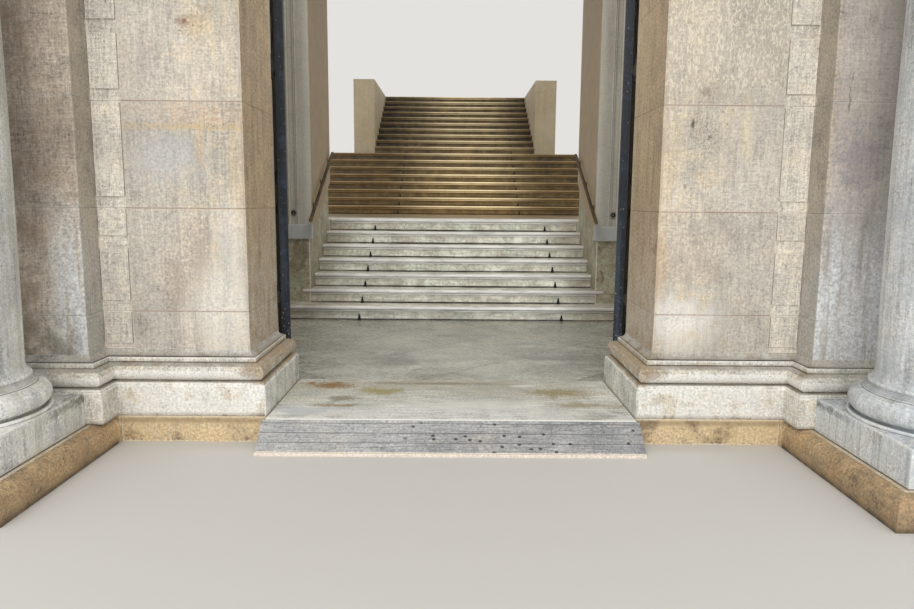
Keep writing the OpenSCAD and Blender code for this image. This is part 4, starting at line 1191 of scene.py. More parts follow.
def base_profile(wall):
    """Profile of the plinth and mouldings round the piers."""
    inside = -0.06
    z = FLOOR_Z
    plinth = z + wall.plinth_h
    ledge = plinth + wall.ledge_h
    torus = ledge + wall.torus_h
    fillet = torus + wall.fillet_h
    groove = fillet + wall.groove_h
    radius = wall.torus_h / 2
    # Dark marks at the plinth's foot, on the ledge, under and over the torus, in the groove and in the cove:
    # soiling, and painted shade in those hollows. Pale marks on the torus's front and the arrises: worn
    # edges.
    made = [
        (inside, z, 0.8, 0.0), (BASE_OUT - 0.004, z, 0.8, 0.2), (BASE_OUT, z + 0.004, 0.6, 0.3),
        (BASE_OUT, z + 0.030, 0.15, 0.0), (BASE_OUT, z + wall.plinth_h * 0.5, 0.0, 0.0),
        (BASE_OUT, plinth - 0.012, 0.0, 0.4), (BASE_OUT - 0.0012, plinth - 0.004, 0.0, 1.0),
        (BASE_OUT - 0.005, plinth, 0.1, 1.0), (wall.ledge_out, plinth + 0.0005, 0.25, 0.3),
        (wall.ledge_out, plinth + 0.004, 0.0, 0.9), (wall.ledge_out, ledge - 0.004, 0.0, 0.9),
        (wall.ledge_out - 0.002, ledge, 0.55, 0.0),
    ]
    round_part = arc((wall.torus_out - radius, ledge + radius), radius, -88, 88, 14)
    made += [
        (out, height, 0.3 if i < 2 else 0.05 if i < 11 else 0.5, 1.0 if 2 < i < 9 else 0.2)
        for i, (out, height, _, _) in enumerate(round_part)
    ]
    made += [
        (wall.fillet_out, torus + 0.0005, 0.95, 0.0), (wall.fillet_out, torus + 0.010, 0.25, 0.4),
        (wall.fillet_out, fillet - 0.004, 0.05, 0.9), (wall.fillet_out - 0.004, fillet, 0.2, 1.0),
        (wall.groove_out, fillet, 1.0, 0.0), (wall.groove_out, groove, 1.0, 0.0),
    ]
    count = 7
    for i, angle in enumerate(angles(90, 0, count)):
        out = wall.cove_out * (1 - math.cos(angle))
        height = groove + wall.cove_h * (1 - math.sin(angle))
        made.append((out, height, 0.6 - 0.2 * i / count, 0.9 if i == 0 else 0.0))
    made.append((inside, groove + wall.cove_h, 0.3, 0.0))
    return made


class PORTAL_OT_wall_bases(Maker, bpy.types.Operator):
    """Runs the plinth and its mouldings round each pier and pilaster"""
    bl_idname = "portal.wall_bases"
    bl_label = "Wall Bases"

    def make(self, scene):
        wall = scene.portal_wall
        path = [(HALF_W, REAR), (HALF_OPEN, REAR), (HALF_OPEN, FRONT), *PILASTER_PATH, (HALF_W, FRONT)]
        core_low = (HALF_OPEN + CORE_BACK, FRONT + CORE_BACK, FLOOR_Z)
        core_high = (HALF_W, REAR - CORE_BACK, FOOT_Z - 0.001)
        for word, side in SIDES.items():
            part = Part(side)
            part.sweep(path, base_profile(wall), step=0.25)
            part.box(core_low, core_high, SHARP)
            part.done(f"wall_base_moulded_{word}", "white_marble", [f"wall_base_{word}"])


class PORTAL_OT_base_courses(Maker, bpy.types.Operator):
    """Lays the yellow course under the piers and columns"""
    bl_idname = "portal.base_courses"
    bl_label = "Base Courses"

    def make(self, scene):
        wall = scene.portal_wall
        top = FLOOR_Z
        inner_x = COLUMN_X - PLINTH_HALF
        front_y = COLUMN_Y - PLINTH_HALF
        radius = top / 2
        inside = -0.2
        nose = wall.course_nose
        profile = [
            (inside, 0.0, 0.5, 0.0), (nose - 0.004, 0.0, 0.9, 0.0), (nose, 0.004, 0.9, 0.0),
            (nose, 0.03, 0.45, 0.0), (nose, 0.06, 0.2, 0.2),
            *arc((nose - radius, radius), radius, 0, 84, 9, 0.05, 0.4),
            (nose - radius - 0.004, top - 0.002, 0.1, 1.0), (0.012, top - 0.001, 0.35, 0.9),
            (0.002, top, 0.95, 0.0), (inside, top, 0.5, 0.0),
        ]
        for word, side in SIDES.items():
            part = Part(side, 30 + side)
            part.sweep([(inner_x, 0.0), (inner_x, front_y), (HALF_W, front_y)], profile, tone=0.5)
            part.box((inner_x - inside, front_y - inside, 0.0), (HALF_W, 0.0, top - 0.001), SHARP, tone=0.5)
            joints = [HALF_OPEN - BASE_OUT, inner_x - nose - 0.002, HALF_W]
            for x0, x1 in zip(joints, joints[1:]):
                part.box((x0 + 0.001, 0.0, 0.0), (x1 - 0.001, REAR + BASE_OUT, top), 0.006, tone=0.62)
            part.done(f"base_course_stones_{word}", "yellow_limestone", [f"base_course_{word}"])


class PORTAL_OT_columns(Maker, bpy.types.Operator):
    """Turns the column shafts, bases and capitals"""
    bl_idname = "portal.columns"
    bl_label = "Columns"

    def make(self, scene):
        column = scene.portal_column
        plinth_h = scene.portal_wall.plinth_h
        centre = (COLUMN_X, COLUMN_Y, 0.0)
        plinth_low = (COLUMN_X - PLINTH_HALF, COLUMN_Y - PLINTH_HALF, FLOOR_Z)
        plinth_high = (COLUMN_X + PLINTH_HALF, PILASTER_FRONT - BASE_OUT, FLOOR_Z + plinth_h)
        for word, side in SIDES.items():
            shaft = Part(side).lathe(self.shaft(column), centre)
            shaft.done(f"column_shaft_turned_{word}", "grey_marble", [f"column_shaft_{word}"], sharp=50)
            base = Part(side).lathe(self.base(column, plinth_h), centre)
            base.box(plinth_low, plinth_high, 0.005, tone=0.5, dirt_and_shade=0.25)
            base.done(f"column_base_turned_{word}", "grey_marble", [f"column_base_{word}"])
            capital = self.capital(Part(side), column)
            capital.done(f"column_capital_turned_{word}", "grey_marble", [f"column_capital_{word}"])

    @staticmethod
    def shaft(column):
        """Profile of the shaft: a flared foot, a slight swelling and a slimmer neck."""
        foot, head = SHAFT_LOW.z, SHAFT_HIGH.z
        tall = head - foot

        def radius(share):
            if share < 1 / 3:
                return column.belly_r - (column.belly_r - column.foot_r) * (1 - 3 * share) ** 2
            return column.belly_r - (column.belly_r - column.neck_r) * (1.5 * share - 0.5) ** 1.6

        made = [(0.0, foot, 0.0, 0.0)]
        for i, angle in enumerate(angles(90, 0, 8)):
            height = column.flare_h * (1 - math.sin(angle))
            out = radius(column.flare_h / tall) + column.flare_out * (1 - math.cos(angle))
            made.append((out, foot + height, 0.5 if i == 0 else 0.12, 0.6 if i == 0 else 0.0))
        steps = 24
        for i in range(1, steps + 1):
            share = i / steps
            made.append((radius(share), foot + share * tall, 0.0, 0.0))
        return made + [(0.0, head, 0.0, 0.0)]

    @staticmethod
    def base(column, plinth_h):
        """Profile of the base: rim, torus, hollow and ring."""
        rim = FLOOR_Z + plinth_h
        torus = rim + column.rim_h
        hollow = torus + column.torus_h
        ring = hollow + column.hollow_h
        top = ring + column.ring_h
        wide = column.foot_r + column.torus_out
        half = column.torus_h / 2
        low_r = column.foot_r + column.hollow_out
        ring_r = column.foot_r + column.ring_out
        made = [
            (0.0, rim, 0.0, 0.0), (wide - 0.004, rim, 0.9, 0.0), (wide - 0.001, rim + 0.003, 0.5, 0.8),
            (wide, rim + column.rim_h - 0.004, 0.0, 1.0), (wide - 0.004, torus - 0.001, 0.2, 1.0),
            (wide - 0.028, torus, 0.95, 0.0),
        ]
        made += [
            (out, height, 0.5 if i < 2 else 0.05, 0.25)
            for i, (out, height, _, _) in enumerate(arc((wide - half, torus + half), half, -64, 86, 16))
        ]
        made += [(low_r, hollow + 0.001, 0.9, 0.0), (low_r, hollow + 0.007, 0.0, 1.0)]
        for angle in angles(0, 90, 6):
            radius = low_r - 0.002 - (low_r - ring_r + 0.004) * math.sin(angle)
            height = hollow + 0.009 + (column.hollow_h - 0.011) * (1 - math.cos(angle))
            made.append((radius, height, 0.45, 0.0))
        half = column.ring_h / 2
        made += arc((ring_r - half, ring + half), half, -80, 80, 8, 0.05, 0.7)
        return made + [(0.0, top, 0.0, 0.0)]

    @staticmethod
    def capital(part, column):
        """The turned capital with its square top plate."""
        foot, head = CAPITAL_LOW.z, CAPITAL_HIGH.z
        plate = head - 0.104
        profile = [point for point in capital_profile(foot, head) if point[1] <= plate + 0.0001]
        turned = [(0.0, foot, 0.0, 0.0)]
        turned += [(column.neck_r + out, height, dirt_and_shade, wear_and_highlight) for out, height, dirt_and_shade, wear_and_highlight in profile[1:]]
        turned.append((0.0, plate, 0.0, 0.0))
        part.lathe(turned, (COLUMN_X, COLUMN_Y, 0.0))
        half = CAPITAL_HIGH.x - COLUMN_X
        high = (COLUMN_X + half, COLUMN_Y + half, head)
        return part.box((COLUMN_X - half, COLUMN_Y - half, plate), high, 0.006, tone=0.5)


class PORTAL_OT_entablature(Maker, bpy.types.Operator):
    """Lays the wall over the door, the beams, the frieze and the cornice"""
    bl_idname = "portal.entablature"
    bl_label = "Entablature"

    def make(self, scene):
        part = Part(1, 40)
        step = (2 * HALF_W) / 7
        heights = [HEAD_Z, BEAM_LOW.z, FRIEZE_LOW.z]
        for k, (foot, head) in enumerate(zip(heights, heights[1:])):
            self.row(part, -HALF_W, HALF_W, FRONT, REAR, foot, head, step, k % 2)
        part.done("wall_head_stones", "pilaster_limestone", ["wall_head"])

        part = Part(1, 41)
        self.row(part, FRIEZE_LOW.x, FRIEZE_HIGH.x, FRIEZE_LOW.y, FRONT, FRIEZE_LOW.z, FRIEZE_HIGH.z, step, 1)
        self.row(part, -HALF_W, HALF_W, FRONT, REAR, FRIEZE_LOW.z, FRIEZE_HIGH.z, step, 0)
        part.done("frieze_stones", "pilaster_limestone", ["frieze"])
        dress("architrave", "pilaster_limestone")

        outer = FRIEZE_HIGH.x
        left = [(-HALF_W, REAR), (-HALF_W, FRONT), (-outer, FRONT), (-outer, FRIEZE_LOW.y)]
        path = left + [(-x, y) for x, y in reversed(left)]
        part = Part(1, 42)
        part.sweep(path, self.cornice_profile(), step=0.6)
        core_low = (-outer + CORE_BACK, FRIEZE_LOW.y + CORE_BACK, CORNICE_LOW.z)
        core_high = (outer - CORE_BACK, REAR, CORNICE_HIGH.z - 0.001)
        part.box(core_low, core_high, SHARP, tone=0.5)
        part.done("cornice_moulded", "pilaster_limestone", ["cornice"])

    @staticmethod
    def row(part, x0, x1, y0, y1, z0, z1, step, shift):
        """One course of long stones with upright joints."""
        gap = 0.0015
        joints = [x0]
        x = x0 + step * (0.5 if shift else 1.0)
        while x < x1 - step * 0.3:
            joints.append(x)
            x += step
        joints.append(x1)
        for left, right in zip(joints, joints[1:]):
            part.box((left + gap, y0, z0 + gap), (right - gap, y1, z1 - gap), 0.004)
        core_low = (x0 + 0.02, y0 + 0.01, z0 + 0.01)
        core_high = (x1 - 0.02, y1 - 0.01, z1 - 0.01)
        part.box(core_low, core_high, SHARP, tone=0.3, dirt_and_shade=0.9)

    @staticmethod
    def cornice_profile():
        """Profile of the cornice: bed band, ovolo, plain face with a drip, cyma and top fillet."""
        z = CORNICE_LOW.z
        top = CORNICE_HIGH.z
        far = CORNICE_HIGH.x - FRIEZE_HIGH.x
        if far > 0.4 or far < 0.2:
            raise RuntimeError("the cornice's projection has changed: fit its profile again")
        made = [(-0.06, z, 0.3, 0.0), (0.060, z, 0.2, 0.8), (0.060, z + 0.060, 0.0, 0.8),
                (0.070, z + 0.064, 0.4, 0.3), (0.070, z + 0.092, 0.5, 0.4)]
        made += arc((0.062, z + 0.170), 0.075, -86, 8, 9, 0.05, 0.3)
        made += [
            (0.138, z + 0.184, 0.6, 0.2), (0.150, z + 0.200, 0.7, 0.0), (0.225, z + 0.200, 0.6, 0.0),
            (0.232, z + 0.212, 0.7, 0.0), (0.246, z + 0.200, 0.4, 0.8), (0.262, z + 0.204, 0.1, 1.0),
            (0.262, z + 0.322, 0.0, 0.8), (0.270, z + 0.330, 0.4, 0.3),
        ]
        made += [(0.270 + 0.045 * math.sin(math.radians(a)) ** 2, z + 0.332 + 0.083 * a / 90, 0.1, 0.3)
                 for a in range(0, 91, 15)]
        made += [(far - 0.002, z + 0.418, 0.2, 1.0), (far, z + 0.424, 0.0, 1.0), (far, top - 0.006, 0.0, 0.8),
                 (far - 0.006, top, 0.1, 1.0), (-0.06, top, 0.2, 0.0)]
        return made


class PORTAL_OT_threshold(Maker, bpy.types.Operator):
    """Makes the worn threshold slab and the grooved ramp"""
    bl_idname = "portal.threshold"
    bl_label = "Threshold"

    def make(self, scene):
        part = Part(1, 50)
        part.box(SLAB_LOW, SLAB_HIGH, 0.007, 0.03, tone=0.6, dirt_and_shade=0.0)
        part.done("threshold_slab_worn", "threshold_marble", ["threshold_slab"])

        ridges = 10
        lip_run = 0.020
        lip_z = 0.018
        rear, front = RAMP_HIGH.y, RAMP_LOW.y
        top = RAMP_HIGH.z
        slope = rear - front - lip_run
        outline = [(rear, 0.0, 0.3, 0.0), (rear, top, 0.9, 0.0)]
        # Each groove is marked dark, every third one most: soiling and painted shade in the grooves.
        for i in range(ridges):
            deep = 1.0 if i in (0, 3, 6) else 0.25
            ridge = ((0.10, 0.0, 0.0, 0.4), (0.50, 0.0, 0.0, 0.5), (0.80, 0.0004, 0.0, 0.4),
                     (0.86, 0.004 * deep, 0.8 * deep, 0.0), (0.96, 0.004 * deep, 0.8 * deep, 0.0))
            for share, sink, hollow_dirt_and_shade, wear_and_highlight in ridge:
                along = (i + share) / ridges
                outline.append((rear - slope * along, top - (top - lip_z) * along - sink, hollow_dirt_and_shade, wear_and_highlight))
        outline += [(front + lip_run, lip_z, 0.2, 0.4), (front + 0.004, lip_z, 0.1, 1.0),
                    (front, lip_z - 0.005, 0.2, 0.8), (front, 0.0, 0.6, 0.0)]
        Part(1, 51).prism(RAMP_LOW.x, RAMP_HIGH.x, outline, step=0.12).done(
            "entrance_ramp_ridged", "ramp_stone", ["entrance_ramp"])


class PORTAL_OT_vestibule(Maker, bpy.types.Operator):
    """Finishes the vestibule's floor, walls and ceiling, and the stair's walls"""
    bl_idname = "portal.vestibule"
    bl_label = "Vestibule"

    def make(self, scene):
        dress("vestibule_floor", "floor_marble")
        for node in ("vestibule_wall_left", "vestibule_wall_right", "vestibule_ceiling",
                     "inner_wall_left", "inner_wall_right", "inner_head",
                     "stair_wall_left", "stair_wall_right", "stair_wall_rear"):
            dress(node, "plaster")
        dress("stair_core", "masonry")


class PORTAL_OT_casing(Maker, bpy.types.Operator):
    """Runs the moulded casing round the inner opening and lays the dado under it"""
    bl_idname = "portal.casing"
    bl_label = "Casing and Dado"

    def make(self, scene):
        stair = scene.portal_stair
        wall_y = WALL_LOW.y
        inner = HEAD_LOW.z
        edge = CASING_LOW.x + 0.010
        rear = WALL_HIGH.y
        block_h = 0.17
        lining_t = 0.08
        foot = CASING_LOW.z
        slope = stair.riser / stair.tread
        part = Part()
        path = [(edge, foot + block_h), (edge, inner), (-edge, inner), (-edge, foot + block_h)]
        part.sweep(path, self.profile(wall_y), upright)
        for side in SIDES.values():
            x0, x1 = sorted((side * (edge - 0.010), side * (edge + 0.460)))
            part.box((x0, wall_y - 0.070, foot), (x1, wall_y, foot + block_h), 0.006, tone=0.4)
            lining = [(wall_y, foot, 0.3, 0.2), (rear, foot + slope * (rear - wall_y), 0.3, 0.2),
                      (rear, inner, 0.1, 0.3), (wall_y, inner, 0.1, 0.0)]
            x0, x1 = sorted((side * edge, side * (edge + lining_t)))
            part.prism(x0, x1, lining)
        part.box((-edge - lining_t, wall_y, inner), (edge + lining_t, rear, inner + lining_t), SHARP)
        part.done("casing_moulded", "casing_paint", ["casing_left", "casing_right", "casing_head"])

        outline = [(wall_y, 0.0, 0.2, 0.0), (wall_y, foot, 0.2, 0.0),
                   (rear, foot + slope * (rear - wall_y), 0.2, 0.0), (rear, 0.0, 0.2, 0.0)]
        for word, side in SIDES.items():
            part = Part(side, 60 + side)
            low = (DADO_X, DADO_LOW.y, FLOOR_Z + stair.riser)
            part.box(low, (DADO_HIGH.x, wall_y, foot), 0.003, tone=0.5)
            part.prism(DADO_X, DADO_X + 0.05, outline)
            part.done(f"dado_polished_{word}", "dado_marble", [f"dado_{word}"])

    @staticmethod
    def profile(wall_y):
        """Plan of the casing: three plain bands with beads between them, and an outer roll."""
        made = [(0.0, 0.0, 0.2, 0.0), (0.0, 0.046, 0.1, 1.0), (0.150, 0.046, 0.1, 0.3)]
        made += arc((0.159, 0.047), 0.008, 170, 10, 6, 0.2, 0.7)
        made += [(0.168, 0.051, 0.4, 0.0), (0.184, 0.051, 0.0, 0.6), (0.190, 0.042, 0.4, 0.0),
                 (0.228, 0.042, 0.0, 0.3), (0.236, 0.052, 0.4, 0.3)]
        made += arc((0.262, 0.040), 0.018, 140, 20, 8, 0.1, 0.7)
        made += [(0.286, 0.046, 0.4, 0.3), (0.300, 0.056, 0.1, 1.0), (0.330, 0.056, 0.1, 1.0),
                 (0.336, 0.030, 0.4, 0.0), (0.450, 0.030, 0.0, 0.6), (0.450, 0.0, 0.3, 0.0)]
        return [(out, wall_y - depth, dirt_and_shade, wear_and_highlight) for out, depth, dirt_and_shade, wear_and_highlight in made]


def step_profile(stair, y, z, run):
    """Outline of a step from its foot: riser, small fillet, round nosing and tread."""
    top = z + stair.riser
    radius = stair.nosing / 2
    under = top - stair.nosing
    small = under - stair.fillet_h
    fillet = y - stair.fillet_out
    # The riser's foot and the hollows under the small fillet and under the nosing are marked dark: painted
    # shade, with some soiling. The fillet's edge and the nosing's round are marked pale: worn edges and a
    # painted highlight.
    made = [
        (y, z, 1.0, 0.0), (y, z + 0.010, 0.85, 0.0), (y, z + 0.020, 0.12, 0.0), (y, z + 0.05, 0.0, 0.3),
        (y, small - 0.004, 0.05, 0.0), (y - 0.002, small, 0.6, 0.1), (fillet, small + 0.003, 0.0, 1.0),
        (fillet, under - 0.004, 0.2, 0.9), (fillet + 0.004, under, 1.0, 0.0),
    ]
    made += [
        (spot[0], spot[1], 0.9 if i == 0 else 0.05, 0.2 if i == 0 else 1.0)
        for i, spot in enumerate(arc((y - radius, under + radius), radius, 270, 90, 8))
    ]
    made += [(y + 0.05, top, 0.0, 0.4), (y + 0.15, top, 0.0, 0.0), (y + run - 0.05, top, 0.2, 0.0),
             (y + run, top, 0.6, 0.0)]
    return made


def worn(stair, half, top, seed):
    """Moves a tread's points down where feet have worn it."""
    def shape(point):
        share = point.x / half
        hollow = max(0.0, 1 - share * share) ** 1.5
        ripple = 0.25 * field.noise(Vector((point.x * 3.1, seed * 1.7, 0.4)))
        near = max(0.0, min(1.0, (point.z - top + 0.05) / 0.05))
        return Vector((point.x, point.y, point.z - stair.dip * near * max(0.0, hollow + ripple)))
    return shape


class PORTAL_OT_lower_flight(Maker, bpy.types.Operator):
    """Makes the worn steps of the lower flight and the landing"""
    bl_idname = "portal.lower_flight"
    bl_label = "Lower Flight"

    def make(self, scene):
        stair = scene.portal_stair
        seat = STEP_HIGH.y - STEP_LOW.y - stair.nosing - stair.tread
        for k in range(1, stair.lower_risers):
            y = stair.start + (k - 1) * stair.tread
            z = FLOOR_Z + (k - 1) * stair.riser
            low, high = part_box(f"step_{k}")
            run = stair.tread + seat
            outline = step_profile(stair, y, z, run) + [(y + run, z, 0.5, 0.0)]
            part = Part(1, 70 + k)
            part.prism(-DADO_X, DADO_X, outline, 0.5, 0.15, worn(stair, DADO_X, z + stair.riser, k))
            if k < 3:
                depth = WALL_LOW.y - y if k == 1 else DADO_LOW.y - y
                for x0, x1 in ((low.x, -DADO_X), (DADO_X, high.x)):
                    wing = step_profile(stair, y, z, max(depth, 0.2))
                    if k == 2:
                        under = z + stair.riser - 0.042
                        wing = [(min(a, y + depth), b, c, d) for a, b, c, d in wing if b > under]
                        wing.append((y + depth, z + stair.riser - stair.nosing, 0.5, 0.0))
                    else:
                        wing.append((y + depth, z, 0.5, 0.0))
                    part.prism(x0, x1, wing, 0.4)
            part.done(f"worn_step_{k}", "stair_marble", [f"step_{k}"])

        y = stair.start + (stair.lower_risers - 1) * stair.tread
        top = LANDING_HIGH.z
        seat = 0.3
        outline = step_profile(stair, y, top - stair.riser, seat) + [(y + seat, top - stair.riser, 0.5, 0.0)]
        part = Part(1, 78)
        part.prism(-DADO_X, DADO_X, outline, 0.5, 0.15, worn(stair, DADO_X, top, 9))
        start = LANDING_LOW.y if LANDING_LOW.y > y else WALL_HIGH.y
        self.slabs(part, -DADO_X, DADO_X, y + seat, LANDING_HIGH.y, 3, 4)
        self.slabs(part, DADO_X, LANDING_HIGH.x, start, LANDING_HIGH.y, 1, 5)
        self.slabs(part, LANDING_LOW.x, -DADO_X, WALL_HIGH.y, LANDING_HIGH.y, 1, 5)
        part.done("landing_slabs", "stair_marble", ["landing"])

    @staticmethod
    def slabs(part, x0, x1, y0, y1, across, along):
        """Paves the landing with slabs."""
        gap = 0.001
        wide, deep = (x1 - x0) / across, (y1 - y0) / along
        for i in range(across):
            for j in range(along):
                part.box((x0 + i * wide + gap, y0 + j * deep + gap, LANDING_LOW.z),
                         (x0 + (i + 1) * wide - gap, y0 + (j + 1) * deep - gap, LANDING_HIGH.z), 0.002)


class PORTAL_OT_upper_flight(Maker, bpy.types.Operator):
    """Makes the steps of the upper flight and its landing"""
    bl_idname = "portal.upper_flight"
    bl_label = "Upper Flight"

    def make(self, scene):
        stair = scene.portal_stair
        foot = LANDING_HIGH.z
        rise, tread = stair.riser, stair.upper_tread
        count = stair.wide_risers + stair.narrow_risers
        soffit_start = LANDING_HIGH.y

        def soffit(y):
            return foot + (y - soffit_start) * rise / tread

        part = Part(1, 80)
        spans = ((0, stair.wide_risers, stair.wide_half), (stair.wide_risers, count, stair.narrow_half))
        for first, last, half in spans:
            outline = []
            for k in range(first, last):
                step = step_profile(stair, stair.upper_start + k * tread, foot + k * rise, tread)
                outline += [(min(a, FLIGHT_HIGH.y), b, c, d) for a, b, c, d in step[:-1]]
            end_y = stair.upper_start + last * tread if last < count else FLIGHT_HIGH.y
            outline[-1] = (end_y, foot + last * rise, 0.3, 0.0)
            start_y = stair.upper_start + first * tread
            outline.append((end_y, soffit(end_y), 0.2, 0.0))
            if start_y < soffit_start:
                outline.append((soffit_start, foot, 0.2, 0.0))
            else:
                outline.append((start_y, soffit(start_y), 0.2, 0.0))
            part.prism(-half, half, outline, 0.5, 0.5)
        part.done("upper_flight_steps", "stair_marble", ["upper_flight"])
        dress("upper_landing", "stair_marble")


def eyelet_tree():
    """Geometry nodes that stand a small bell-shaped eyelet on each point of a mesh."""
    tree = bpy.data.node_groups.new("rod_eyelets", "GeometryNodeTree")
    kinds = {"Points": "Geometry", "Radius": "Float", "Height": "Float", "Metal": "Material"}
    for label, kind in kinds.items():
        tree.interface.new_socket(name=label, in_out="INPUT", socket_type=f"NodeSocket{kind}")
    tree.interface.new_socket(name="Geometry", in_out="OUTPUT", socket_type="NodeSocketGeometry")
    sheet = Sheet(tree)
    given = sheet.given(kinds)
    small = given["Radius"] * 0.35
    bell = sheet.value("GeometryNodeMeshCone", {"fill_type": "NGON"}, {
        "Vertices": 20, "Side Segments": 3, "Radius Top": small, "Radius Bottom": given["Radius"],
        "Depth": given["Height"],
    })
    lift = sheet.value("ShaderNodeCombineXYZ", inputs={2: given["Height"]})
    ball = sheet.value("GeometryNodeMeshUVSphere", inputs={"Segments": 16, "Rings": 10, "Radius": small})
    ball = sheet.value("GeometryNodeTransform", inputs={"Geometry": ball, "Translation": lift})
    join = sheet.put("GeometryNodeJoinGeometry", inputs={0: ball})
    tree.links.new(bell.socket, join.inputs[0])
    eyelet = Value(sheet, join.outputs[0])
    spots = sheet.value("GeometryNodeMeshToPoints", inputs={"Mesh": given["Points"]})
    copies = sheet.value("GeometryNodeInstanceOnPoints", inputs={"Points": spots, "Instance": eyelet})
    real = sheet.value("GeometryNodeRealizeInstances", inputs={0: copies})
    done = sheet.value("GeometryNodeSetMaterial", inputs={"Geometry": real, "Material": given["Metal"]})
    sheet.put("NodeGroupOutput", inputs={"Geometry": done})
    return tree


class PORTAL_OT_eyelets(Maker, bpy.types.Operator):
    """Stands a black rod eyelet at the foot of each riser"""
    bl_idname = "portal.eyelets"
    bl_label = "Rod Eyelets"

    def make(self, scene):
        stair = scene.portal_stair
        out = 0.022
        flights = (
            (stair.lower_risers, stair.start, stair.tread, FLOOR_Z),
            (stair.wide_risers + stair.narrow_risers, stair.upper_start, stair.upper_tread, LANDING_HIGH.z),
        )
        spots = [
            (x, start + k * tread - out, foot + k * stair.riser)
            for count, start, tread, foot in flights for k in range(count)
            for x in (-stair.eyelet_left, stair.eyelet_right)
        ]
        mesh = bpy.data.meshes.new("eyelet_spots")
        mesh.from_pydata(spots, [], [])
        made = bpy.data.objects.new("rod_eyelets", mesh)
        scene.collection.objects.link(made)
        tree = eyelet_tree()
        modifier = made.modifiers.new("eyelets", "NODES")
        modifier.node_group = tree
        names = {item.name: item.identifier for item in tree.interface.items_tree if item.in_out == "INPUT"}
        modifier[names["Radius"]] = 0.021
        modifier[names["Height"]] = 0.068
        modifier[names["Metal"]] = finish("black_iron")
        baked = bpy.data.meshes.new_from_object(made.evaluated_get(bpy.context.evaluated_depsgraph_get()))
        made.modifiers.clear()
        made.data = baked
        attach(made, "portal")


class PORTAL_OT_handrails(Maker, bpy.types.Operator):
    """Makes the handrails with their brackets, and the knobs on the casing"""
    bl_idname = "portal.handrails"
    bl_label = "Handrails and Knobs"

    def make(self, scene):
        stair = scene.portal_stair
        radius = 0.020
        rake = math.atan2(stair.riser, stair.tread)
        x = RAIL_LOW.x + radius
        low = Vector((x, RAIL_LOW.y + radius * math.sin(rake), RAIL_LOW.z + radius * math.cos(rake)))
        high = Vector((x, RAIL_HIGH.y - radius * math.sin(rake), RAIL_HIGH.z - radius * math.cos(rake)))
        reach = (high - low).length
        tube = [
            (0.0, -0.002, 0.2, 0.5), *arc((0, 0.012), 0.014, -80, -10, 5, 0.1, 1.0),
            (radius, 0.022, 0.1, 0.8), (radius, reach * 0.5, 0.0, 0.3), (radius, reach - 0.02, 0.0, 0.5),
            (radius - 0.006, reach - 0.001, 0.1, 1.0), (0.0, reach, 0.2, 0.2),
        ]
        for word, side in SIDES.items():
            part = Part(side)
            part.lathe(tube, segments=28)
            part.move(Matrix.Translation(low) @ Matrix.Rotation(rake - math.pi / 2, 4, "X"))
            for share in (0.27, 0.60, 0.93):
                self.bracket(part, low.lerp(high, share))
            part.done(f"handrail_bronze_{word}", "bronze", [f"handrail_{word}"])
            self.knob(side, word)

    @staticmethod
    def bracket(part, spot):
        """An arm under the rail, with a rose on the wall."""
        drop, thin, rose = 0.055, 0.007, 0.028
        x, y, z = spot
        wall_x = RAIL_HIGH.x
        part.box((x - thin, y - thin, z - drop), (x + thin, y + thin, z - 0.01), 0.002)
        part.box((x - thin, y - thin, z - drop - thin), (wall_x, y + thin, z - drop + thin), 0.002)
        part.box((wall_x - thin, y - rose, z - drop - rose), (wall_x, y + rose, z - drop + rose), 0.003)

    @staticmethod
    def knob(side, word):
        """A black ring with a pale boss, fixed to the casing's face."""
        centre = Vector((1.92, WALL_LOW.y - 0.044, FLOOR_Z + 1.254))
        turn = Matrix.Translation(centre) @ Matrix.Rotation(math.pi / 2, 4, "X")
        ring = [(0.0, 0.0, 0.3, 0.0), (0.038, 0.0, 0.3, 0.3), (0.038, 0.010, 0.1, 0.8),
                (0.031, 0.018, 0.1, 1.0), (0.018, 0.014, 0.4, 0.2), (0.014, 0.008, 0.5, 0.0),
                (0.0, 0.008, 0.5, 0.0)]
        Part(side).lathe(ring, segments=32).move(turn).done(f"casing_knob_{word}", "black_iron")
        boss = [(0.0, 0.008, 0.0, 0.0), (0.009, 0.008, 0.0, 0.3), (0.009, 0.016, 0.0, 0.6),
                (0.006, 0.020, 0.0, 1.0), (0.0, 0.021, 0.0, 1.0)]
        Part(side).lathe(boss, segments=24).move(turn).done(f"casing_knob_boss_{word}", "hinge_steel")


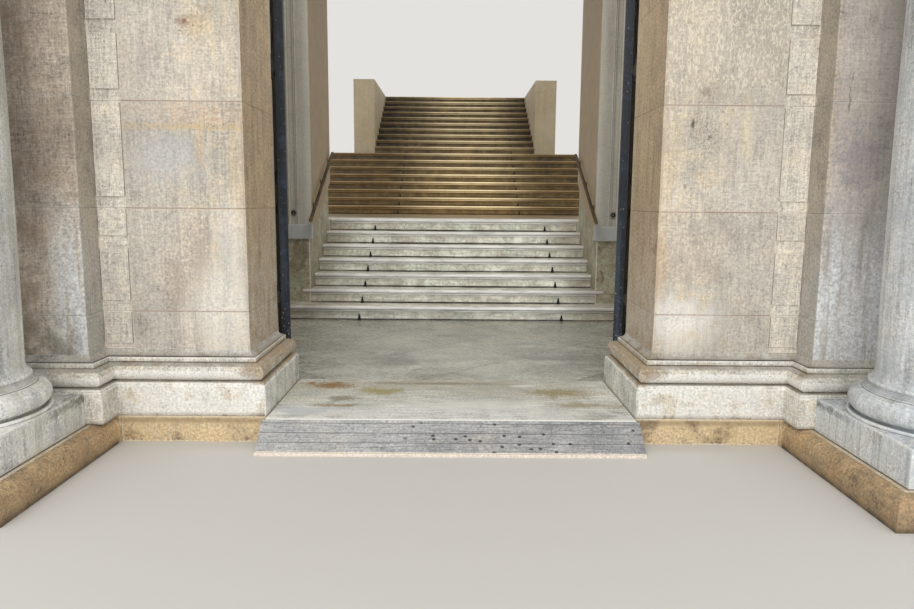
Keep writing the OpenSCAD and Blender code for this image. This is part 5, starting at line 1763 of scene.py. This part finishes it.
class PORTAL_OT_door_leaves(Maker, bpy.types.Operator):
    """Makes the two framed and panelled door leaves"""
    bl_idname = "portal.door_leaves"
    bl_label = "Door Leaves"

    def make(self, scene):
        door = scene.portal_door
        foot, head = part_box("door_leaf_right")[0].z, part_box("door_leaf_right")[1].z
        width = door.pin_x - door.meeting
        x0, x1 = -width, -door.edge
        y0, y1 = -door.pin_gap - door.leaf_t, -door.pin_gap
        rails = (0.0, 0.3, 0.62, 1.0)
        tall = head - foot - door.stile
        hang = Matrix.Translation((door.pin_x, door.pin_y, 0.0)) @ Matrix.Rotation(-door.opened, 4, "Z")
        for word, side in SIDES.items():
            part = Part(side, 90 + side)
            part.box((x0, y0, foot), (x0 + door.stile, y1, head), 0.003, tone=0.5)
            part.box((x1 - door.stile, y0, foot), (x1, y1, head), 0.003, tone=0.5)
            for share in rails:
                z = foot + share * tall
                part.box((x0 + door.stile, y0, z), (x1 - door.stile, y1, z + door.stile), 0.002, tone=0.5)
            for below, above in zip(rails, rails[1:]):
                z0, z1 = foot + below * tall + door.stile, foot + above * tall
                self.panel(part, x0 + door.stile, x1 - door.stile, y0, y1, z0, z1, door.sink)
            part.move(hang)
            part.done(f"door_leaf_panelled_{word}", "door_paint", [f"door_leaf_{word}"], f"leaf_{word}")

    @staticmethod
    def panel(part, x0, x1, y0, y1, z0, z1, sink):
        """A sunk panel with a moulding round it and a raised field, on both faces."""
        path = [(x0, z0), (x1, z0), (x1, z1), (x0, z1), (x0, z0)]
        part.box((x0, y0 + sink, z0), (x1, y1 - sink, z1), SHARP, tone=0.5)
        field_in = 0.10
        shape = [(0.0, 0.0), (0.0, sink * 0.85), (0.008, sink * 0.95), (0.018, sink * 0.75),
                 (0.028, sink * 0.30), (0.036, sink * 0.25), (0.036, 0.0)]
        for face, way in ((y0, 1), (y1, -1)):
            a, b = sorted((face + way * sink, face + way * 0.003))
            part.box((x0 + field_in, a, z0 + field_in), (x1 - field_in, b, z1 - field_in), 0.004, tone=0.5)
            profile = [(-out, face + way * (sink - rise), 0.2, 0.6) for out, rise in shape]
            part.sweep(path, profile, upright, step=5.0)


class PORTAL_OT_hinges(Maker, bpy.types.Operator):
    """Finishes the hinge posts and straps"""
    bl_idname = "portal.hinges"
    bl_label = "Hinges"

    def make(self, scene):
        for word in SIDES:
            # The hinge posts fill the gap between pier and leaf; their near-black finish also paints the
            # shade in that gap.
            dress(f"hinge_post_{word}", "black_iron")
            dress(f"hinge_straps_{word}", "hinge_steel")


class PORTAL_OT_stage(Maker, bpy.types.Operator):
    """Sets up the studio floor, the soft light and the camera"""
    bl_idname = "portal.stage"
    bl_label = "Stage"

    def make(self, scene):
        stage = scene.portal_stage
        self.floor(scene, stage)
        self.world(scene, stage)
        self.lamp("key_lamp", (-2.6, -15.0, 9.2), (0.0, 1.0, 1.6), 12.0, stage.key, paint("fffdfa"))
        self.lamp("vestibule_lamp", (0.0, 1.5, 4.7), (0.0, 5.0, 0.8), 1.8, stage.hall, paint("fffef8"))
        camera = bpy.data.cameras.new("camera")
        camera.lens = stage.lens
        camera.sensor_width = 36.0
        camera.clip_start, camera.clip_end = 0.05, 200.0
        made = bpy.data.objects.new("camera", camera)
        made.location = (stage.camera_x, stage.camera_y, stage.camera_z)
        made.rotation_euler = (stage.tilt, stage.roll, stage.turn)
        scene.collection.objects.link(made)
        scene.camera = made
        scene.view_settings.view_transform = "Standard"

    @staticmethod
    def floor(scene, stage):
        half = 400.0
        corners = [(-half, -half, 0), (half, -half, 0), (half, half, 0), (-half, half, 0)]
        mesh = bpy.data.meshes.new("studio_floor")
        mesh.from_pydata(corners, [], [(0, 1, 2, 3)])
        plain = bpy.data.materials.new("studio_floor")
        plain.use_nodes = True
        shader = plain.node_tree.nodes["Principled BSDF"].inputs
        shader["Base Color"].default_value = tuple(stage.floor)
        shader["Roughness"].default_value = 0.85
        mesh.materials.append(plain)
        made = bpy.data.objects.new("studio_floor", mesh)
        scene.collection.objects.link(made)

    @staticmethod
    def world(scene, stage):
        world = bpy.data.worlds.new("studio")
        world.use_nodes = True
        world.node_tree.nodes.clear()
        sheet = Sheet(world.node_tree)
        light = sheet.value("ShaderNodeBackground", inputs={"Color": "ffffff", "Strength": stage.world})
        seen = sheet.value("ShaderNodeBackground", inputs={"Color": "e4e2de", "Strength": 1.0})
        camera, through, glossy = (
            sheet.value("ShaderNodeLightPath", output=ray)
            for ray in ("Is Camera Ray", "Is Transmission Ray", "Is Glossy Ray"))
        shown = camera.most(through).most(glossy)
        mix = sheet.value("ShaderNodeMixShader", inputs={0: shown, 1: light, 2: seen})
        sheet.put("ShaderNodeOutputWorld", inputs={0: mix})
        scene.world = world

    @staticmethod
    def lamp(name, place, target, size, power, color):
        data = bpy.data.lights.new(name, "AREA")
        data.shape = "SQUARE"
        data.size = size
        data.energy = power
        data.color = color[:3]
        made = bpy.data.objects.new(name, data)
        made.location = place
        made.rotation_euler = (Vector(target) - Vector(place)).to_track_quat("-Z", "Y").to_euler()
        made.visible_camera = False
        bpy.context.scene.collection.objects.link(made)


OPERATORS = (
    PORTAL_OT_piers, PORTAL_OT_panel_strips, PORTAL_OT_pilasters, PORTAL_OT_wall_bases,
    PORTAL_OT_base_courses, PORTAL_OT_columns, PORTAL_OT_entablature, PORTAL_OT_threshold,
    PORTAL_OT_vestibule, PORTAL_OT_casing, PORTAL_OT_lower_flight, PORTAL_OT_upper_flight,
    PORTAL_OT_eyelets, PORTAL_OT_handrails, PORTAL_OT_door_leaves, PORTAL_OT_hinges, PORTAL_OT_stage,
)


class PORTAL_PT_sidebar(bpy.types.Panel):
    """Lists the portal's pieces and their settings"""
    bl_idname = "PORTAL_PT_sidebar"
    bl_label = "Stone Entrance Portal"
    bl_space_type = "VIEW_3D"
    bl_region_type = "UI"
    bl_category = "Portal"

    def draw(self, context):
        column = self.layout.column(align=True)
        for operator in OPERATORS:
            column.operator(operator.bl_idname)
        for name, group in GROUPS.items():
            box = self.layout.box()
            for key in group.__annotations__:
                box.prop(getattr(context.scene, name), key)


CLASSES = (*GROUPS.values(), *OPERATORS, PORTAL_PT_sidebar)


def register():
    for cls in CLASSES:
        bpy.utils.register_class(cls)
    for name, group in GROUPS.items():
        setattr(bpy.types.Scene, name, PointerProperty(type=group))


def unregister():
    for name in GROUPS:
        delattr(bpy.types.Scene, name)
    for cls in reversed(CLASSES):
        bpy.utils.unregister_class(cls)


def main():
    """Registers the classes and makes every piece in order."""
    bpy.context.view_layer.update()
    register()
    for operator in OPERATORS:
        family, name = operator.bl_idname.split(".")
        getattr(getattr(bpy.ops, family), name)()


if __name__ == "__main__":
    main()
